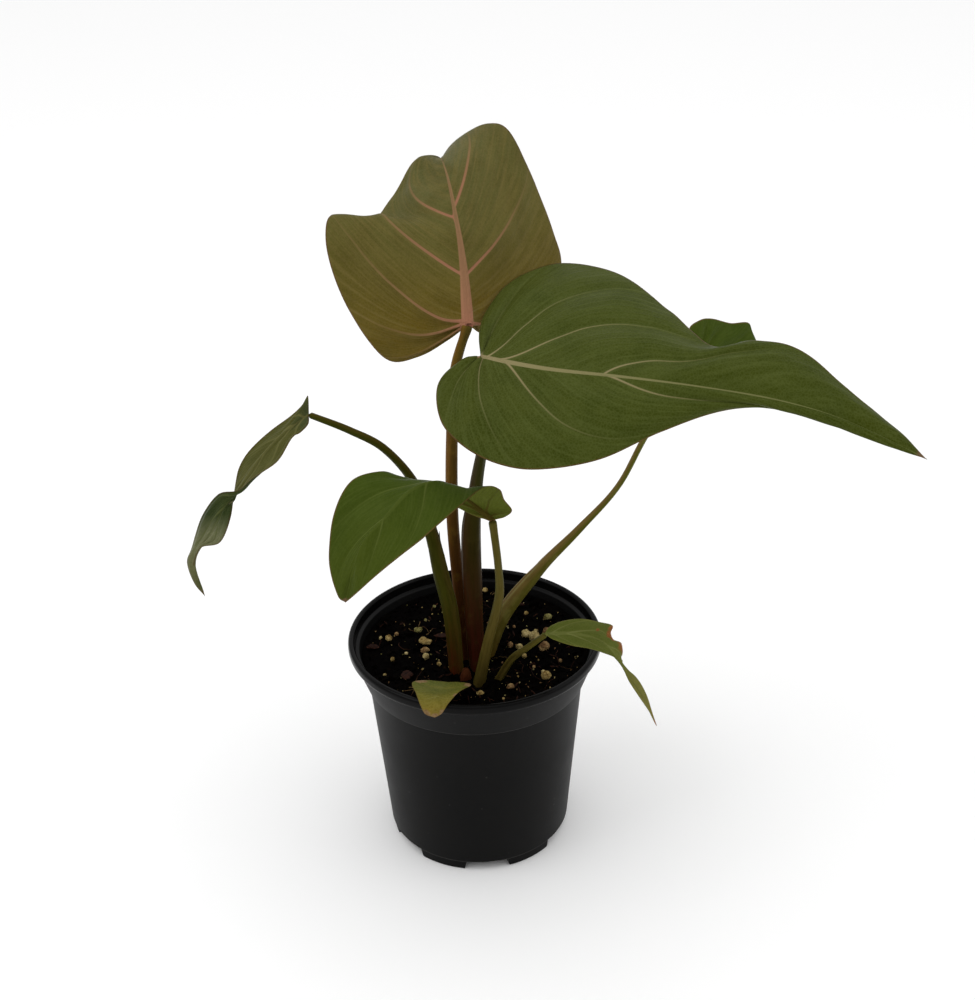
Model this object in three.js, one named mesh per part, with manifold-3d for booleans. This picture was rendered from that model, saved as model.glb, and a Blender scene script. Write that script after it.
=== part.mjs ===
// Philodendron with six leaves on separate stalks, in a round nursery pot filled with potting mix.
// Millimetres, +Z up. The origin is the middle of the pot's foot, on the surface the pot stands on.
import * as THREE from 'three';
import { mergeVertices } from 'three/addons/utils/BufferGeometryUtils.js';
import Module from 'manifold-3d';

const wasm = await Module();
wasm.setup();

// ---- driving dimensions ------------------------------------------------------------------------
const rimRadius = 57; // outside of the rolled rim, a 4.5 inch pot
const potHeight = 103; // standing surface to the top of the rim
const rimOverhang = 1.7; // rim beyond the top of the collar
const collarFlare = 6.6; // top of the collar beyond the top of the body
const bodyTaper = 7; // top of the body beyond its foot
const wall = 1.6; // moulded wall of the pot
const lipHeight = 5; // rolled rim, top to underside
const ledgeWidth = 1.6; // ledge inside the pot under the rim
const collarHeight = 15; // collar, rim underside to the step at its bottom
const footHeight = 4.8; // foot ring under the body
const footCount = 6; // feet, with as many openings between them
const footOpening = THREE.MathUtils.degToRad(28); // angle of one opening in the foot ring
const footTurn = THREE.MathUtils.degToRad(4.5); // turn of the front opening away from -Y
const padRadius = 10; // raised pad in the middle of the floor that touches the standing surface
const soilDrop = 8; // rim top to the mean level of the potting mix
const bladeThickness = 0.9;
const clearance = 0.3; // gap left between neighbouring pieces

const collarTopRadius = rimRadius - rimOverhang;
const bodyTopRadius = collarTopRadius - collarFlare;
const bodyFootRadius = bodyTopRadius - bodyTaper;
const soilLevel = potHeight - soilDrop;
const floorTop = footHeight + wall;
const collarBottom = potHeight - lipHeight - collarHeight;
const lipBottom = potHeight - lipHeight;

const bodyRadiusAt = (z) => THREE.MathUtils.mapLinear(z, footHeight, collarBottom, bodyFootRadius, bodyTopRadius);
const footRadius = bodyFootRadius - 1;
const lipRound = 1.6; // radius of the rounded edges of the rolled rim
const ledgeDrop = lipHeight - 0.3; // rim top to the ledge inside the rim
const mouthRadius = rimRadius - 2.6;
const ledgeRadius = mouthRadius - 0.6; // foot of the rim's inner face, where the ledge begins
const innerRadiusAt = (z) => (z > collarBottom
  ? THREE.MathUtils.mapLinear(z, collarBottom, lipBottom, bodyTopRadius, ledgeRadius - ledgeWidth)
  : bodyRadiusAt(z) - wall);
const soilReach = innerRadiusAt(soilLevel) - 2 * clearance; // radius of the mix at its top

// ---- finishes ----------------------------------------------------------------------------------
const finish = {
  pot: { color: 0x17181a, roughness: 0.38 },
  soil: { color: 0x2b211b, roughness: 0.95 },
  oliveLeaf: { color: 0x5d5a3c, roughness: 0.6 },
  greenLeaf: { color: 0x4d6b3f, roughness: 0.5 },
  darkLeaf: { color: 0x3c4a3a, roughness: 0.5 },
  youngLeaf: { color: 0x7a9350, roughness: 0.5 },
  yellowLeaf: { color: 0xb7a545, roughness: 0.6 },
  redStalk: { color: 0x6b3a30, roughness: 0.5 },
  greenStalk: { color: 0x5f6a3b, roughness: 0.5 },
  perlite: { color: 0xd9d5cc, roughness: 0.9 },
  bark: { color: 0x5b3a28, roughness: 0.9 },
};

const plant = new THREE.Group();
plant.name = 'potted_philodendron';

function addPiece(name, geometry, look) {
  const material = new THREE.MeshStandardMaterial({ ...finish[look], metalness: 0 });
  geometry.computeVertexNormals();
  const mesh = new THREE.Mesh(geometry, material);
  mesh.name = name;
  plant.add(mesh);
}

// ---- geometry helpers --------------------------------------------------------------------------
function bufferOf(points, triangles) {
  const geometry = new THREE.BufferGeometry();
  geometry.setAttribute('position', new THREE.Float32BufferAttribute(points.flat(), 3));
  geometry.setIndex(triangles.flat());
  return geometry;
}

function toSolid(geometry) {
  const clean = geometry.clone();
  clean.deleteAttribute('normal');
  clean.deleteAttribute('uv');
  const welded = mergeVertices(clean, 1e-4);
  return new wasm.Manifold(new wasm.Mesh({
    numProp: 3,
    vertProperties: new Float32Array(welded.attributes.position.array),
    triVerts: new Uint32Array(welded.index.array),
  }));
}

function toGeometry(solid) {
  const mesh = solid.getMesh();
  const geometry = new THREE.BufferGeometry();
  geometry.setAttribute('position', new THREE.BufferAttribute(new Float32Array(mesh.vertProperties), 3));
  geometry.setIndex(new THREE.BufferAttribute(new Uint32Array(mesh.triVerts), 1));
  return geometry;
}

function largestPart(solid) {
  return solid.decompose().sort((a, b) => b.volume() - a.volume())[0];
}

// smooth line through a few points: Catmull-Rom with the same share of the range for each span
function smoothAt(points, t) {
  const spans = points.length - 1;
  const k = Math.min(Math.floor(t * spans), spans - 1);
  const f = t * spans - k;
  const at = (i) => points[THREE.MathUtils.clamp(i, 0, spans)];
  return [0, 1, 2].map((axis) => {
    const b = at(k)[axis];
    const c = at(k + 1)[axis];
    const a = k > 0 ? at(k - 1)[axis] : 2 * b - c;
    const d = k < spans - 1 ? at(k + 2)[axis] : 2 * c - b;
    return 0.5 * (2 * b + (c - a) * f + (2 * a - 5 * b + 4 * c - d) * f * f + (3 * b - a - 3 * c + d) * f ** 3);
  });
}

// ---- stalks ------------------------------------------------------------------------------------
// A stalk is a round rod along a smooth line; its radius follows its own short list of values.
function stalkGeometry(stalk, extra = 0) {
  const sides = 10;
  const rings = 16;
  const middle = (t) => new THREE.Vector3(...smoothAt(stalk.path, t));
  const points = [];
  const triangles = [];
  for (let i = 0; i <= rings; i += 1) {
    const t = i / rings;
    const ahead = middle(Math.min(t + 0.01, 1)).sub(middle(Math.max(t - 0.01, 0))).normalize();
    const across = new THREE.Vector3(0, 1, 0).cross(ahead).normalize();
    const over = ahead.clone().cross(across);
    const slot = t * (stalk.radius.length - 1);
    const k = Math.min(Math.floor(slot), stalk.radius.length - 2);
    const radius = THREE.MathUtils.lerp(stalk.radius[k], stalk.radius[k + 1], slot - k) + extra;
    for (let j = 0; j < sides; j += 1) {
      const angle = (j / sides) * 2 * Math.PI;
      const p = middle(t).addScaledVector(across, radius * Math.cos(angle));
      points.push(p.addScaledVector(over, radius * Math.sin(angle)).toArray());
    }
  }
  const foot = points.push(middle(0).toArray()) - 1;
  const head = points.push(middle(1).toArray()) - 1;
  for (let j = 0; j < sides; j += 1) {
    const next = (j + 1) % sides;
    for (let i = 0; i < rings; i += 1) {
      const a = i * sides + j;
      const b = i * sides + next;
      triangles.push([a, b, b + sides], [a, b + sides, a + sides]);
    }
    triangles.push([foot, next, j], [head, rings * sides + j, rings * sides + next]);
  }
  return bufferOf(points, triangles);
}

// ---- leaf blades -------------------------------------------------------------------------------
// A blade spans from its midrib to its two margins. Each is a smooth line from the joint with the
// stalk to the tip; the margins first go round the two lobes of the heart, so the midrib starts slowly.
function bladeGeometry(leaf, thickness = bladeThickness) {
  const rows = leaf.rows ?? 24;
  const columns = leaf.columns ?? 4;
  const surface = (u, v) => {
    const margin = smoothAt(v < 0 ? leaf.left : leaf.right, u);
    const rib = smoothAt(leaf.midrib, u ** leaf.ribPace);
    return new THREE.Vector3(...rib).lerp(new THREE.Vector3(...margin), Math.abs(v));
  };
  const facing = (u, v) => {
    const along = surface(Math.min(u + 0.02, 1), v).sub(surface(Math.max(u - 0.02, 0), v));
    const step = 0.1;
    const across = surface(u, Math.min(v + step, 1)).sub(surface(u, Math.max(v - step, -1)));
    return across.cross(along).normalize();
  };
  const half = thickness / 2;
  const points = [];
  const lay = (u, v, direction, side) => {
    const bulge = (leaf.bulge ?? 0) * 4 * Math.abs(v) * (1 - Math.abs(v)) * Math.sin(Math.PI * u);
    points.push(surface(u, v).addScaledVector(direction, side * half + bulge).toArray());
    return points.length - 1;
  };
  const layers = [1, -1].map((side) => {
    const grid = [];
    for (let i = 1; i < rows; i += 1) {
      const u = i / rows;
      grid.push([]);
      for (let j = -columns; j <= columns; j += 1) {
        grid[i - 1].push(lay(u, j / columns, facing(u, j / columns), side));
      }
    }
    const start = lay(0, 0, facing(1 / rows, 0), side);
    const tip = lay(1, 0, facing(1 - 1 / rows, 0), side);
    return { grid, start, tip };
  });
  const triangles = [];
  const quad = (a, b, c, d) => triangles.push([a, b, c], [a, c, d]);
  const last = rows - 2;
  const width = 2 * columns;
  layers.forEach(({ grid, start, tip }, layer) => {
    const add = (a, b, c) => triangles.push(layer ? [a, c, b] : [a, b, c]);
    for (let j = 0; j < width; j += 1) {
      for (let i = 0; i < last; i += 1) {
        add(grid[i][j], grid[i][j + 1], grid[i + 1][j + 1]);
        add(grid[i][j], grid[i + 1][j + 1], grid[i + 1][j]);
      }
      add(start, grid[0][j + 1], grid[0][j]);
      add(tip, grid[last][j], grid[last][j + 1]);
    }
  });
  const [top, under] = layers;
  for (let i = 0; i < last; i += 1) {
    quad(top.grid[i][0], top.grid[i + 1][0], under.grid[i + 1][0], under.grid[i][0]);
    quad(top.grid[i + 1][width], top.grid[i][width], under.grid[i][width], under.grid[i + 1][width]);
  }
  quad(top.start, top.grid[0][0], under.grid[0][0], under.start);
  quad(top.grid[0][width], top.start, under.start, under.grid[0][width]);
  quad(top.grid[last][0], top.tip, under.tip, under.grid[last][0]);
  quad(top.tip, top.grid[last][width], under.grid[last][width], under.tip);
  const geometry = bufferOf(points, triangles);
  if (toSolid(geometry).volume() < 0) {
    geometry.setIndex(triangles.map(([a, b, c]) => [a, c, b]).flat());
  }
  return geometry;
}

// Points are x, y and the height above the mean level of the potting mix.
const leaves = {
  upper: {
    look: 'oliveLeaf',
    ribPace: 2.2,
    bulge: 2,
    midrib: [[1, -8, 160], [0, 4, 176], [-2, 14, 192], [-5, 28, 206], [-8, 44, 211], [-10, 60, 206],
      [-14, 74, 193]],
    left: [[1, -8, 160], [-7, -5, 152], [-20, -1, 143], [-32, 1, 141], [-42, 4, 152], [-52, 12, 170],
      [-56, 18, 188], [-53, 25, 196], [-40, 34, 188], [-30, 42, 197], [-19, 49, 211], [-9, 61, 207],
      [-14, 74, 193]],
    right: [[1, -8, 160], [8, 2, 151], [23, 18, 144], [37, 34, 152], [41, 43, 167], [36, 46, 184],
      [29, 50, 202], [20, 56, 220], [11, 60, 222], [-1, 62, 216], [-8, 67, 207], [-14, 74, 193]],
  },
  broad: {
    look: 'greenLeaf',
    ribPace: 1.7,
    rows: 32,
    columns: 5,
    bulge: 2.5,
    midrib: [[6, -30, 155], [32, -43, 155], [60, -52, 155], [88, -58, 153], [117, -63, 149],
      [142, -70, 143], [169, -82, 133]],
    left: [[6, -30, 155], [6, -13, 160], [11, 3, 165], [23, 16, 171], [41, 21, 174], [63, 9, 173],
      [81, -14, 166], [95, -35, 160], [111, -39, 163], [128, -42, 160], [145, -57, 149],
      [161, -72, 139], [169, -82, 133]],
    right: [[6, -30, 155], [-2, -26, 152], [-11, -33, 145], [-10, -48, 137], [-1, -61, 132],
      [12, -70, 129], [27, -75, 129], [49, -76, 133], [72, -69, 140], [95, -63, 145], [118, -62, 145],
      [143, -70, 140], [160, -78, 135], [169, -82, 133]],
  },
  rear: {
    look: 'greenLeaf',
    ribPace: 1.4,
    bulge: 1,
    midrib: [[104, 50, 121], [117, 56, 113], [133, 62, 103], [152, 66, 93], [171, 67, 86]],
    left: [[104, 50, 121], [98, 50, 131], [103, 54, 134], [109, 58, 133], [118, 62, 129],
      [127, 66, 127], [129, 67, 118], [141, 69, 102], [159, 69, 91], [171, 67, 86]],
    right: [[104, 50, 121], [101, 41, 119], [110, 42, 110], [126, 48, 100], [146, 56, 91],
      [162, 63, 85], [171, 67, 86]],
  },
  front: {
    look: 'greenLeaf',
    ribPace: 1.3,
    bulge: 1.5,
    midrib: [[9, -44, 90], [-1, -43, 100], [-11, -48, 110], [-22, -56, 111], [-32, -64, 104],
      [-42, -70, 94], [-49, -74, 72]],
    left: [[9, -44, 90], [3, -43, 91], [-5, -42, 95], [-18, -41, 102], [-28, -42, 110], [-35, -46, 114],
      [-46, -50, 112], [-53, -57, 101], [-55, -66, 86], [-52, -73, 75], [-49, -74, 72]],
    right: [[9, -44, 90], [14, -42, 90], [17, -42, 93], [14, -44, 99], [12, -46, 105], [6, -50, 108],
      [-5, -62, 105], [-19, -71, 97], [-35, -76, 86], [-44, -77, 78], [-49, -74, 72]],
  },
  twisted: {
    look: 'darkLeaf',
    ribPace: 1.1,
    bulge: 1,
    midrib: [[-66, -4, 120], [-76, -8, 114], [-86, -12, 105], [-94, -16, 95], [-101, -20, 87],
      [-108, -22, 76], [-116, -24, 63], [-113, -28, 48]],
    left: [[-66, -4, 120], [-66, -3, 128], [-69, -2, 123], [-74, -1, 118], [-83, 0, 111], [-92, -4, 104],
      [-97, -8, 97], [-99, -12, 89], [-99, -24, 84], [-104, -28, 74], [-113, -26, 70], [-117, -25, 58],
      [-113, -28, 48]],
    right: [[-66, -4, 120], [-66, -9, 118], [-69, -13, 116], [-72, -16, 115], [-79, -20, 106],
      [-89, -22, 100], [-95, -22, 95], [-105, -16, 90], [-113, -14, 79], [-118, -18, 66],
      [-120, -22, 61], [-117, -27, 54], [-113, -28, 48]],
  },
  young: {
    look: 'youngLeaf',
    ribPace: 1.2,
    rows: 22,
    bulge: 0.6,
    midrib: [[30, -40, 32], [41, -43, 34], [51, -49, 35], [58, -58, 34], [62, -67, 31], [67, -75, 26],
      [73, -82, 15]],
    left: [[30, -40, 32], [32, -38, 34], [37, -37, 36], [45, -38, 38], [53, -41, 38], [58, -44, 38],
      [57, -48, 37], [58, -50, 35], [61, -51, 34], [61, -54, 32], [59, -58, 32], [62, -64, 31],
      [66, -71, 30], [69, -75, 26], [71, -79, 21], [73, -82, 15]],
    right: [[30, -40, 32], [34, -43, 31], [41, -46, 30], [48, -50, 31], [54, -55, 32], [59, -60, 32],
      [62, -66, 30], [65, -72, 26], [68, -77, 23], [71, -80, 19], [73, -82, 15]],
  },
};

// A dry scrap of leaf lies over the rim at the front. Its points are x, how far outside the rim's
// radius, and the height above the rim.
const scrap = {
  look: 'yellowLeaf',
  ribPace: 1,
  rows: 12,
  columns: 3,
  bulge: 0.5,
  midrib: [[-12, -22, -2], [-14, -13, 0], [-16, -5, 2], [-17, 1, 0], [-17, 3, -2]],
  left: [[-12, -22, -2], [-21, -24, -2], [-27, -19, 0], [-25, -8, 2], [-23, -1, 1], [-21, 2, -1],
    [-17, 3, -2]],
  right: [[-12, -22, -2], [-3, -21, -2], [-2, -17, -1], [-7, -9, 1], [-11, -2, 1], [-14, 2, -1],
    [-17, 3, -2]],
};

const overMix = (points) => points.map(([x, y, height]) => [x, y, soilLevel + height]);
const overRim = (points) => points.map(([x, out, height]) => [x, -rimRadius - out, potHeight + height]);
const placed = (leaf, place) => ({
  ...leaf, midrib: place(leaf.midrib), left: place(leaf.left), right: place(leaf.right),
});

const sunkBy = 4; // depth of a stalk's foot in the potting mix

// A stalk's foot is given in shares of the mix's radius, so that the feet keep their places in another
// pot; then come points in x, y and height above the mix, and it ends where its blade begins.
const stalks = {
  upper: {
    look: 'redStalk',
    radius: [2.8, 2.6, 2.6, 2.2, 1.7],
    foot: [-0.08, -0.16],
    path: [[-6, -6, 30], [-8, -4, 68], [-7, -5, 107], [-5, -11, 140]],
  },
  broad: {
    look: 'greenStalk',
    radius: [3.2, 3.8, 3.8, 3.1, 2.1, 1.6],
    foot: [0.02, -0.30],
    path: [[0, -13, 30], [0, -12, 65], [3, -16, 93], [7, -26, 125]],
  },
  rear: {
    look: 'greenStalk',
    radius: [3.4, 3.5, 2.2, 1.4, 1.3, 1.3],
    foot: [0.08, -0.12],
    path: [[21, 4, 22], [34, 10, 38], [53, 18, 49], [67, 28, 68], [81, 38, 91]],
  },
  front: {
    look: 'greenStalk',
    radius: [2.8, 2.2, 1.9, 1.6, 1.4],
    foot: [0.02, -0.55],
    path: [[6, -36, 27], [11, -41, 51], [11, -44, 67]],
  },
  twisted: {
    look: 'greenStalk',
    radius: [3.2, 3.4, 2.9, 1.9, 1.6, 1.3],
    foot: [-0.16, -0.36],
    path: [[-10, -14, 26], [-14, -12, 48], [-17, -12, 67], [-23, -10, 89], [-35, -8, 105],
      [-49, -6, 113]],
  },
  young: {
    look: 'youngLeaf',
    radius: [1.9, 1.6, 1.3, 1.2],
    foot: [0.18, -0.46],
    path: [[16, -28, 12], [23, -34, 22]],
  },
};

Object.entries(leaves).forEach(([name, leaf]) => {
  addPiece(`leaf_${name}`, bladeGeometry(placed(leaf, overMix)), leaf.look);
});
addPiece('leaf_scrap_on_rim', bladeGeometry(placed(scrap, overRim)), scrap.look);

const footOf = ([x, y]) => [x * soilReach, y * soilReach, soilLevel - sunkBy];
// the end stays a little short of the blade, which is thicker here than a real one
const endOf = (stalk, leaf) => {
  const joint = new THREE.Vector3(...leaf.midrib[0]);
  const back = new THREE.Vector3(...overMix(stalk.path).at(-1)).sub(joint);
  return joint.addScaledVector(back.normalize(), bladeThickness + clearance).toArray();
};
const sockets = [];
Object.entries(stalks).forEach(([name, stalk]) => {
  const leaf = placed(leaves[name], overMix);
  const path = [footOf(stalk.foot), ...overMix(stalk.path), endOf(stalk, leaf)];
  const joint = toSolid(bladeGeometry(leaf, bladeThickness + 2 * clearance));
  const rod = toSolid(stalkGeometry({ ...stalk, path })).subtract(joint);
  addPiece(`stalk_${name}`, toGeometry(largestPart(rod)), stalk.look);
  sockets.push(toSolid(stalkGeometry({ ...stalk, path }, clearance)));
});

// the crown is a short stump between the feet of the stalks
const crownFoot = footOf([-0.08, -0.485]);
const crown = {
  radius: [2.4, 2.6, 2.3, 1.2],
  path: [0, 3.2, 5.8, 8.6].map((rise) => [crownFoot[0], crownFoot[1] + rise / 8, crownFoot[2] + rise]),
};
addPiece('crown', stalkGeometry(crown), 'redStalk');
sockets.push(toSolid(stalkGeometry(crown, clearance)));

// ---- pot ---------------------------------------------------------------------------------------
const potSegments = 72;

function lathe(profile) {
  const geometry = new THREE.LatheGeometry(profile.map(([r, z]) => new THREE.Vector2(r, z)), potSegments);
  geometry.rotateX(Math.PI / 2);
  return geometry;
}

const potProfile = [
  [0, 0],
  [padRadius, 0],
  [padRadius + 1, footHeight],
  [footRadius - 3 * wall, footHeight],
  [footRadius - 2 * wall, 0],
  [footRadius - 0.4, 0],
  [footRadius, 0.4],
  [footRadius + 0.2, footHeight],
  [bodyFootRadius, footHeight],
  [bodyTopRadius, collarBottom],
  [bodyTopRadius + 1.4, collarBottom],
  [collarTopRadius, lipBottom],
  [rimRadius - lipRound, lipBottom],
  [rimRadius - 0.4, lipBottom + 0.6],
  [rimRadius, lipBottom + lipRound],
  [rimRadius, potHeight - lipRound],
  [rimRadius - 0.5, potHeight - 0.5],
  [rimRadius - lipRound, potHeight],
  [mouthRadius + 0.4, potHeight],
  [mouthRadius, potHeight - 0.6],
  [ledgeRadius, potHeight - ledgeDrop],
  [innerRadiusAt(lipBottom), potHeight - ledgeDrop - 0.3],
  [innerRadiusAt(collarBottom + 1), collarBottom + 1],
  [innerRadiusAt(collarBottom - 1), collarBottom - 1],
  [innerRadiusAt(floorTop + 3), floorTop + 3],
  [innerRadiusAt(floorTop) - 3, floorTop],
  [0, floorTop],
];

function footOpeningSolid(index) {
  const shape = new THREE.Shape();
  const reach = rimRadius;
  const narrow = footOpening / 2;
  shape.moveTo((padRadius + 6) * Math.sin(narrow), padRadius + 6);
  shape.lineTo(reach * Math.sin(narrow), reach * Math.cos(narrow));
  shape.lineTo(-reach * Math.sin(narrow), reach * Math.cos(narrow));
  shape.lineTo(-(padRadius + 6) * Math.sin(narrow), padRadius + 6);
  const block = new THREE.ExtrudeGeometry(shape, { depth: footHeight + 1, bevelEnabled: false });
  block.translate(0, 0, -1);
  block.rotateZ(Math.PI + footTurn + (index * 2 * Math.PI) / footCount);
  return toSolid(block);
}

let pot = toSolid(lathe(potProfile));
for (let i = 0; i < footCount; i += 1) {
  pot = pot.subtract(footOpeningSolid(i));
}
addPiece('pot', toGeometry(pot), 'pot');

// ---- potting mix -------------------------------------------------------------------------------
// The top is lumpy: two crossed waves and one finer one, all fading towards the wall of the pot.
const soilHeight = (x, y) => {
  const fade = 1 - (Math.hypot(x, y) / soilReach) ** 4 * 0.7;
  const lumps = 0.7 * Math.sin(x / 6.1 + 1.3) * Math.cos(y / 5.3) + 0.35 * Math.sin(x / 2.9 - y / 3.3);
  return soilLevel + fade * lumps;
};

function soilGeometry() {
  const around = 48;
  const rings = 11;
  const points = [];
  const triangles = [];
  const ring = (radius, heightAt) => {
    for (let j = 0; j < around; j += 1) {
      const angle = (j / around) * 2 * Math.PI;
      const x = radius * Math.cos(angle);
      const y = radius * Math.sin(angle);
      points.push([x, y, heightAt(x, y)]);
    }
  };
  for (let i = 1; i <= rings; i += 1) {
    ring((soilReach * i) / rings, soilHeight);
  }
  const shoulder = collarBottom - 1;
  const bottom = floorTop + clearance;
  ring(bodyRadiusAt(shoulder) - wall - clearance, () => shoulder);
  ring(bodyRadiusAt(bottom + 3) - wall - clearance, () => bottom + 3);
  ring(bodyRadiusAt(bottom) - wall - 3 - clearance, () => bottom);
  const top = points.push([0, 0, soilHeight(0, 0)]) - 1;
  const under = points.push([0, 0, bottom]) - 1;
  const lastRing = rings + 2;
  for (let j = 0; j < around; j += 1) {
    const next = (j + 1) % around;
    for (let i = 0; i < lastRing; i += 1) {
      const a = i * around + j;
      const b = i * around + next;
      triangles.push([a, a + around, b + around], [a, b + around, b]);
    }
    triangles.push([top, j, next], [under, lastRing * around + next, lastRing * around + j]);
  }
  return bufferOf(points, triangles);
}

let soil = toSolid(soilGeometry());
sockets.forEach((socket) => {
  soil = soil.subtract(socket);
});
addPiece('soil', toGeometry(largestPart(soil)), 'soil');

// ---- grains lying on the mix -------------------------------------------------------------------
// A grain is a ball with three flattened directions and a shallow lumpiness of its own. Its place is
// given in shares of the mix's radius.
const grains = [
  { at: [-0.44, 0.06], size: [6, 5, 3] },
  { at: [-0.77, 0.12], size: [3.4, 4.4, 2.8] },
  { at: [-0.51, 0.24], size: [3.6, 3.2, 2.6] },
  { at: [-0.44, -0.06], size: [4, 3, 2.4] },
  { at: [0.10, 0.91], size: [3, 3, 2.4] },
  { at: [0.04, -0.75], size: [3.4, 3, 2] },
  { at: [0.30, -0.65], size: [3.4, 3, 2] },
  { at: [0.61, -0.53], size: [5, 4.4, 3.6] },
  { at: [0.61, -0.08], size: [5, 5, 4] },
  { at: [0.46, 0.14], size: [4, 4, 3.4] },
  { at: [0.65, 0.16], size: [4.4, 4, 3.4] },
  { at: [0.67, 0.42], size: [4.6, 3.6, 3] },
];

function grainGeometry({ at, size }, index) {
  const middle = at.map((share) => share * soilReach);
  const ball = mergeVertices(new THREE.IcosahedronGeometry(0.5, 1).deleteAttribute('normal').deleteAttribute('uv'));
  const position = ball.attributes.position;
  for (let i = 0; i < position.count; i += 1) {
    const [x, y, z] = [position.getX(i), position.getY(i), position.getZ(i)];
    const lump = 1 + 0.12 * Math.sin(7 * x + index) * Math.cos(6 * y - index) * Math.cos(5 * z);
    position.setXYZ(i, x * size[0] * lump, y * size[1] * lump, z * size[2] * lump);
  }
  ball.computeBoundingBox();
  const rest = Math.max(...[-1, 0, 1].flatMap((i) => [-1, 0, 1].map((j) => (
    soilHeight(middle[0] + (i * size[0]) / 4, middle[1] + (j * size[1]) / 4)))));
  ball.translate(middle[0], middle[1], rest + clearance - ball.boundingBox.min.z);
  return ball;
}

grains.forEach((grain, index) => {
  addPiece(`perlite_${String(index + 1).padStart(2, '0')}`, grainGeometry(grain, index), 'perlite');
});

// slivers of bark, flat and pointed at both ends
const slivers = [
  { at: [-0.91, 0.02], size: [7, 2.4, 1.2], turn: 0.5 },
  { at: [-0.30, 0.16], size: [8, 2, 1.2], turn: -0.4 },
  { at: [-0.59, -0.44], size: [9, 2.2, 1.3], turn: 0.9 },
  { at: [0.40, 0.67], size: [7, 2.2, 1.2], turn: 0.2 },
];

slivers.forEach(({ at, size, turn }, index) => {
  const chip = mergeVertices(new THREE.OctahedronGeometry(0.5, 1).deleteAttribute('normal').deleteAttribute('uv'));
  chip.scale(...size);
  chip.rotateZ(turn);
  const middle = at.map((share) => share * soilReach);
  const ends = [-0.5, -0.25, 0, 0.25, 0.5].map((share) => soilHeight(
    middle[0] + share * size[0] * Math.cos(turn), middle[1] + share * size[0] * Math.sin(turn)));
  chip.translate(middle[0], middle[1], Math.max(...ends) + clearance + size[2] / 2);
  addPiece(`bark_${String(index + 1).padStart(2, '0')}`, chip, 'bark');
});

export default plant;
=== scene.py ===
import bmesh
import bpy
import numpy as np
from mathutils import Matrix, Vector


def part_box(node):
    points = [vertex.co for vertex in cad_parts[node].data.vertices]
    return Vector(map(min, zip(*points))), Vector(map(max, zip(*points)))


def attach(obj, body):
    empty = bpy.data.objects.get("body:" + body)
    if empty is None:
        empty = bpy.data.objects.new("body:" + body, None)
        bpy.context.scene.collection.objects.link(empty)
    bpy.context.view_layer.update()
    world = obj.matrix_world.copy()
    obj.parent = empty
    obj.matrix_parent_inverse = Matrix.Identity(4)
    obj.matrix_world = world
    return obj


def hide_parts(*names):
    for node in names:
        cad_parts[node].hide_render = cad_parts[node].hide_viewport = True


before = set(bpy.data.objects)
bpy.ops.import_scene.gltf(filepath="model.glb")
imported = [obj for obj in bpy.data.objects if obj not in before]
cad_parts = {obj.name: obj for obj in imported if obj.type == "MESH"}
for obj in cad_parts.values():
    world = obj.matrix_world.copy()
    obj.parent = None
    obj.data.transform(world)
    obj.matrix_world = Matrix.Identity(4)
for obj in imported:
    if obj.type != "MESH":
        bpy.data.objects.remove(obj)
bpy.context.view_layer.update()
mm = 0.001
potLow, potHigh = (np.array(c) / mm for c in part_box("pot"))
rimTop = potHigh[2]  # mm above the surface the pot stands on
rimRadius = (potHigh[0] - potLow[0]) / 2
mixDrop = 8  # rim to the mean level of the potting mix
mixLevel = rimTop - mixDrop
mixRadius = 50.8
stalkSunk = 4  # depth of a stalk's foot in the mix
bpy.context.scene.view_settings.view_transform = "Standard"


def hexColor(code):
    # sRGB hex to linear: the lower part is a straight line, the rest a power of 2.4
    s = np.array([int(code[i:i + 2], 16) for i in (1, 3, 5)]) / 255
    linear = np.where(s <= 0.04045, s / 12.92, ((s + 0.055) / 1.055) ** 2.4)
    return (*linear.tolist(), 1.0)


def addNode(tree, kind, inputs=None, out=0, stops=None, **settings):
    # one node with its settings, its input values or links, and the socket that is read from it
    node = tree.nodes.new(kind)
    for name, value in settings.items():
        setattr(node, name, value)
    if stops:
        ramp = node.color_ramp
        while len(ramp.elements) < len(stops):
            ramp.elements.new(0.5)
        for element, (place, code) in zip(ramp.elements, stops):
            element.position = place
            element.color = hexColor(code)
    for key, value in (inputs or {}).items():
        if isinstance(value, bpy.types.NodeSocket):
            tree.links.new(value, node.inputs[key])
        else:
            node.inputs[key].default_value = value
    return node.outputs[out]


def newMaterial(name, **fixed):
    # an empty material with its shader; even values are set on the shader's own sockets
    material = bpy.data.materials.new(name)
    material.use_nodes = True
    tree = material.node_tree
    shader = tree.nodes["Principled BSDF"]
    for key, value in fixed.items():
        shader.inputs[key.replace("_", " ")].default_value = value
    return material, tree, shader


def calc(tree, operation, *values):
    # arithmetic on links or plain numbers
    return addNode(tree, "ShaderNodeMath", dict(enumerate(values)), operation=operation)


def blend(tree, share, first, second):
    # colour mixed from the first towards the second by the share; hex codes or links
    first, second = (hexColor(c) if isinstance(c, str) else c for c in (first, second))
    return addNode(tree, "ShaderNodeMix", {0: share, 6: first, 7: second}, out=2, data_type="RGBA")


def band(tree, value, low, high, top=1.0, bottom=0.0):
    # bottom below low, top above high, with a smooth step between; low may be the larger
    limits = {"Value": value, "From Min": low, "From Max": high, "To Min": bottom, "To Max": top}
    return addNode(tree, "ShaderNodeMapRange", limits, interpolation_type="SMOOTHSTEP")


def ramp(tree, value, stops):
    return addNode(tree, "ShaderNodeValToRGB", {"Fac": value}, out="Color", stops=stops)


def attribute(tree, name, out="Fac"):
    return addNode(tree, "ShaderNodeAttribute", out=out, attribute_name=name)


def objectPlace(tree):
    return addNode(tree, "ShaderNodeTexCoord", out="Object")


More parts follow.
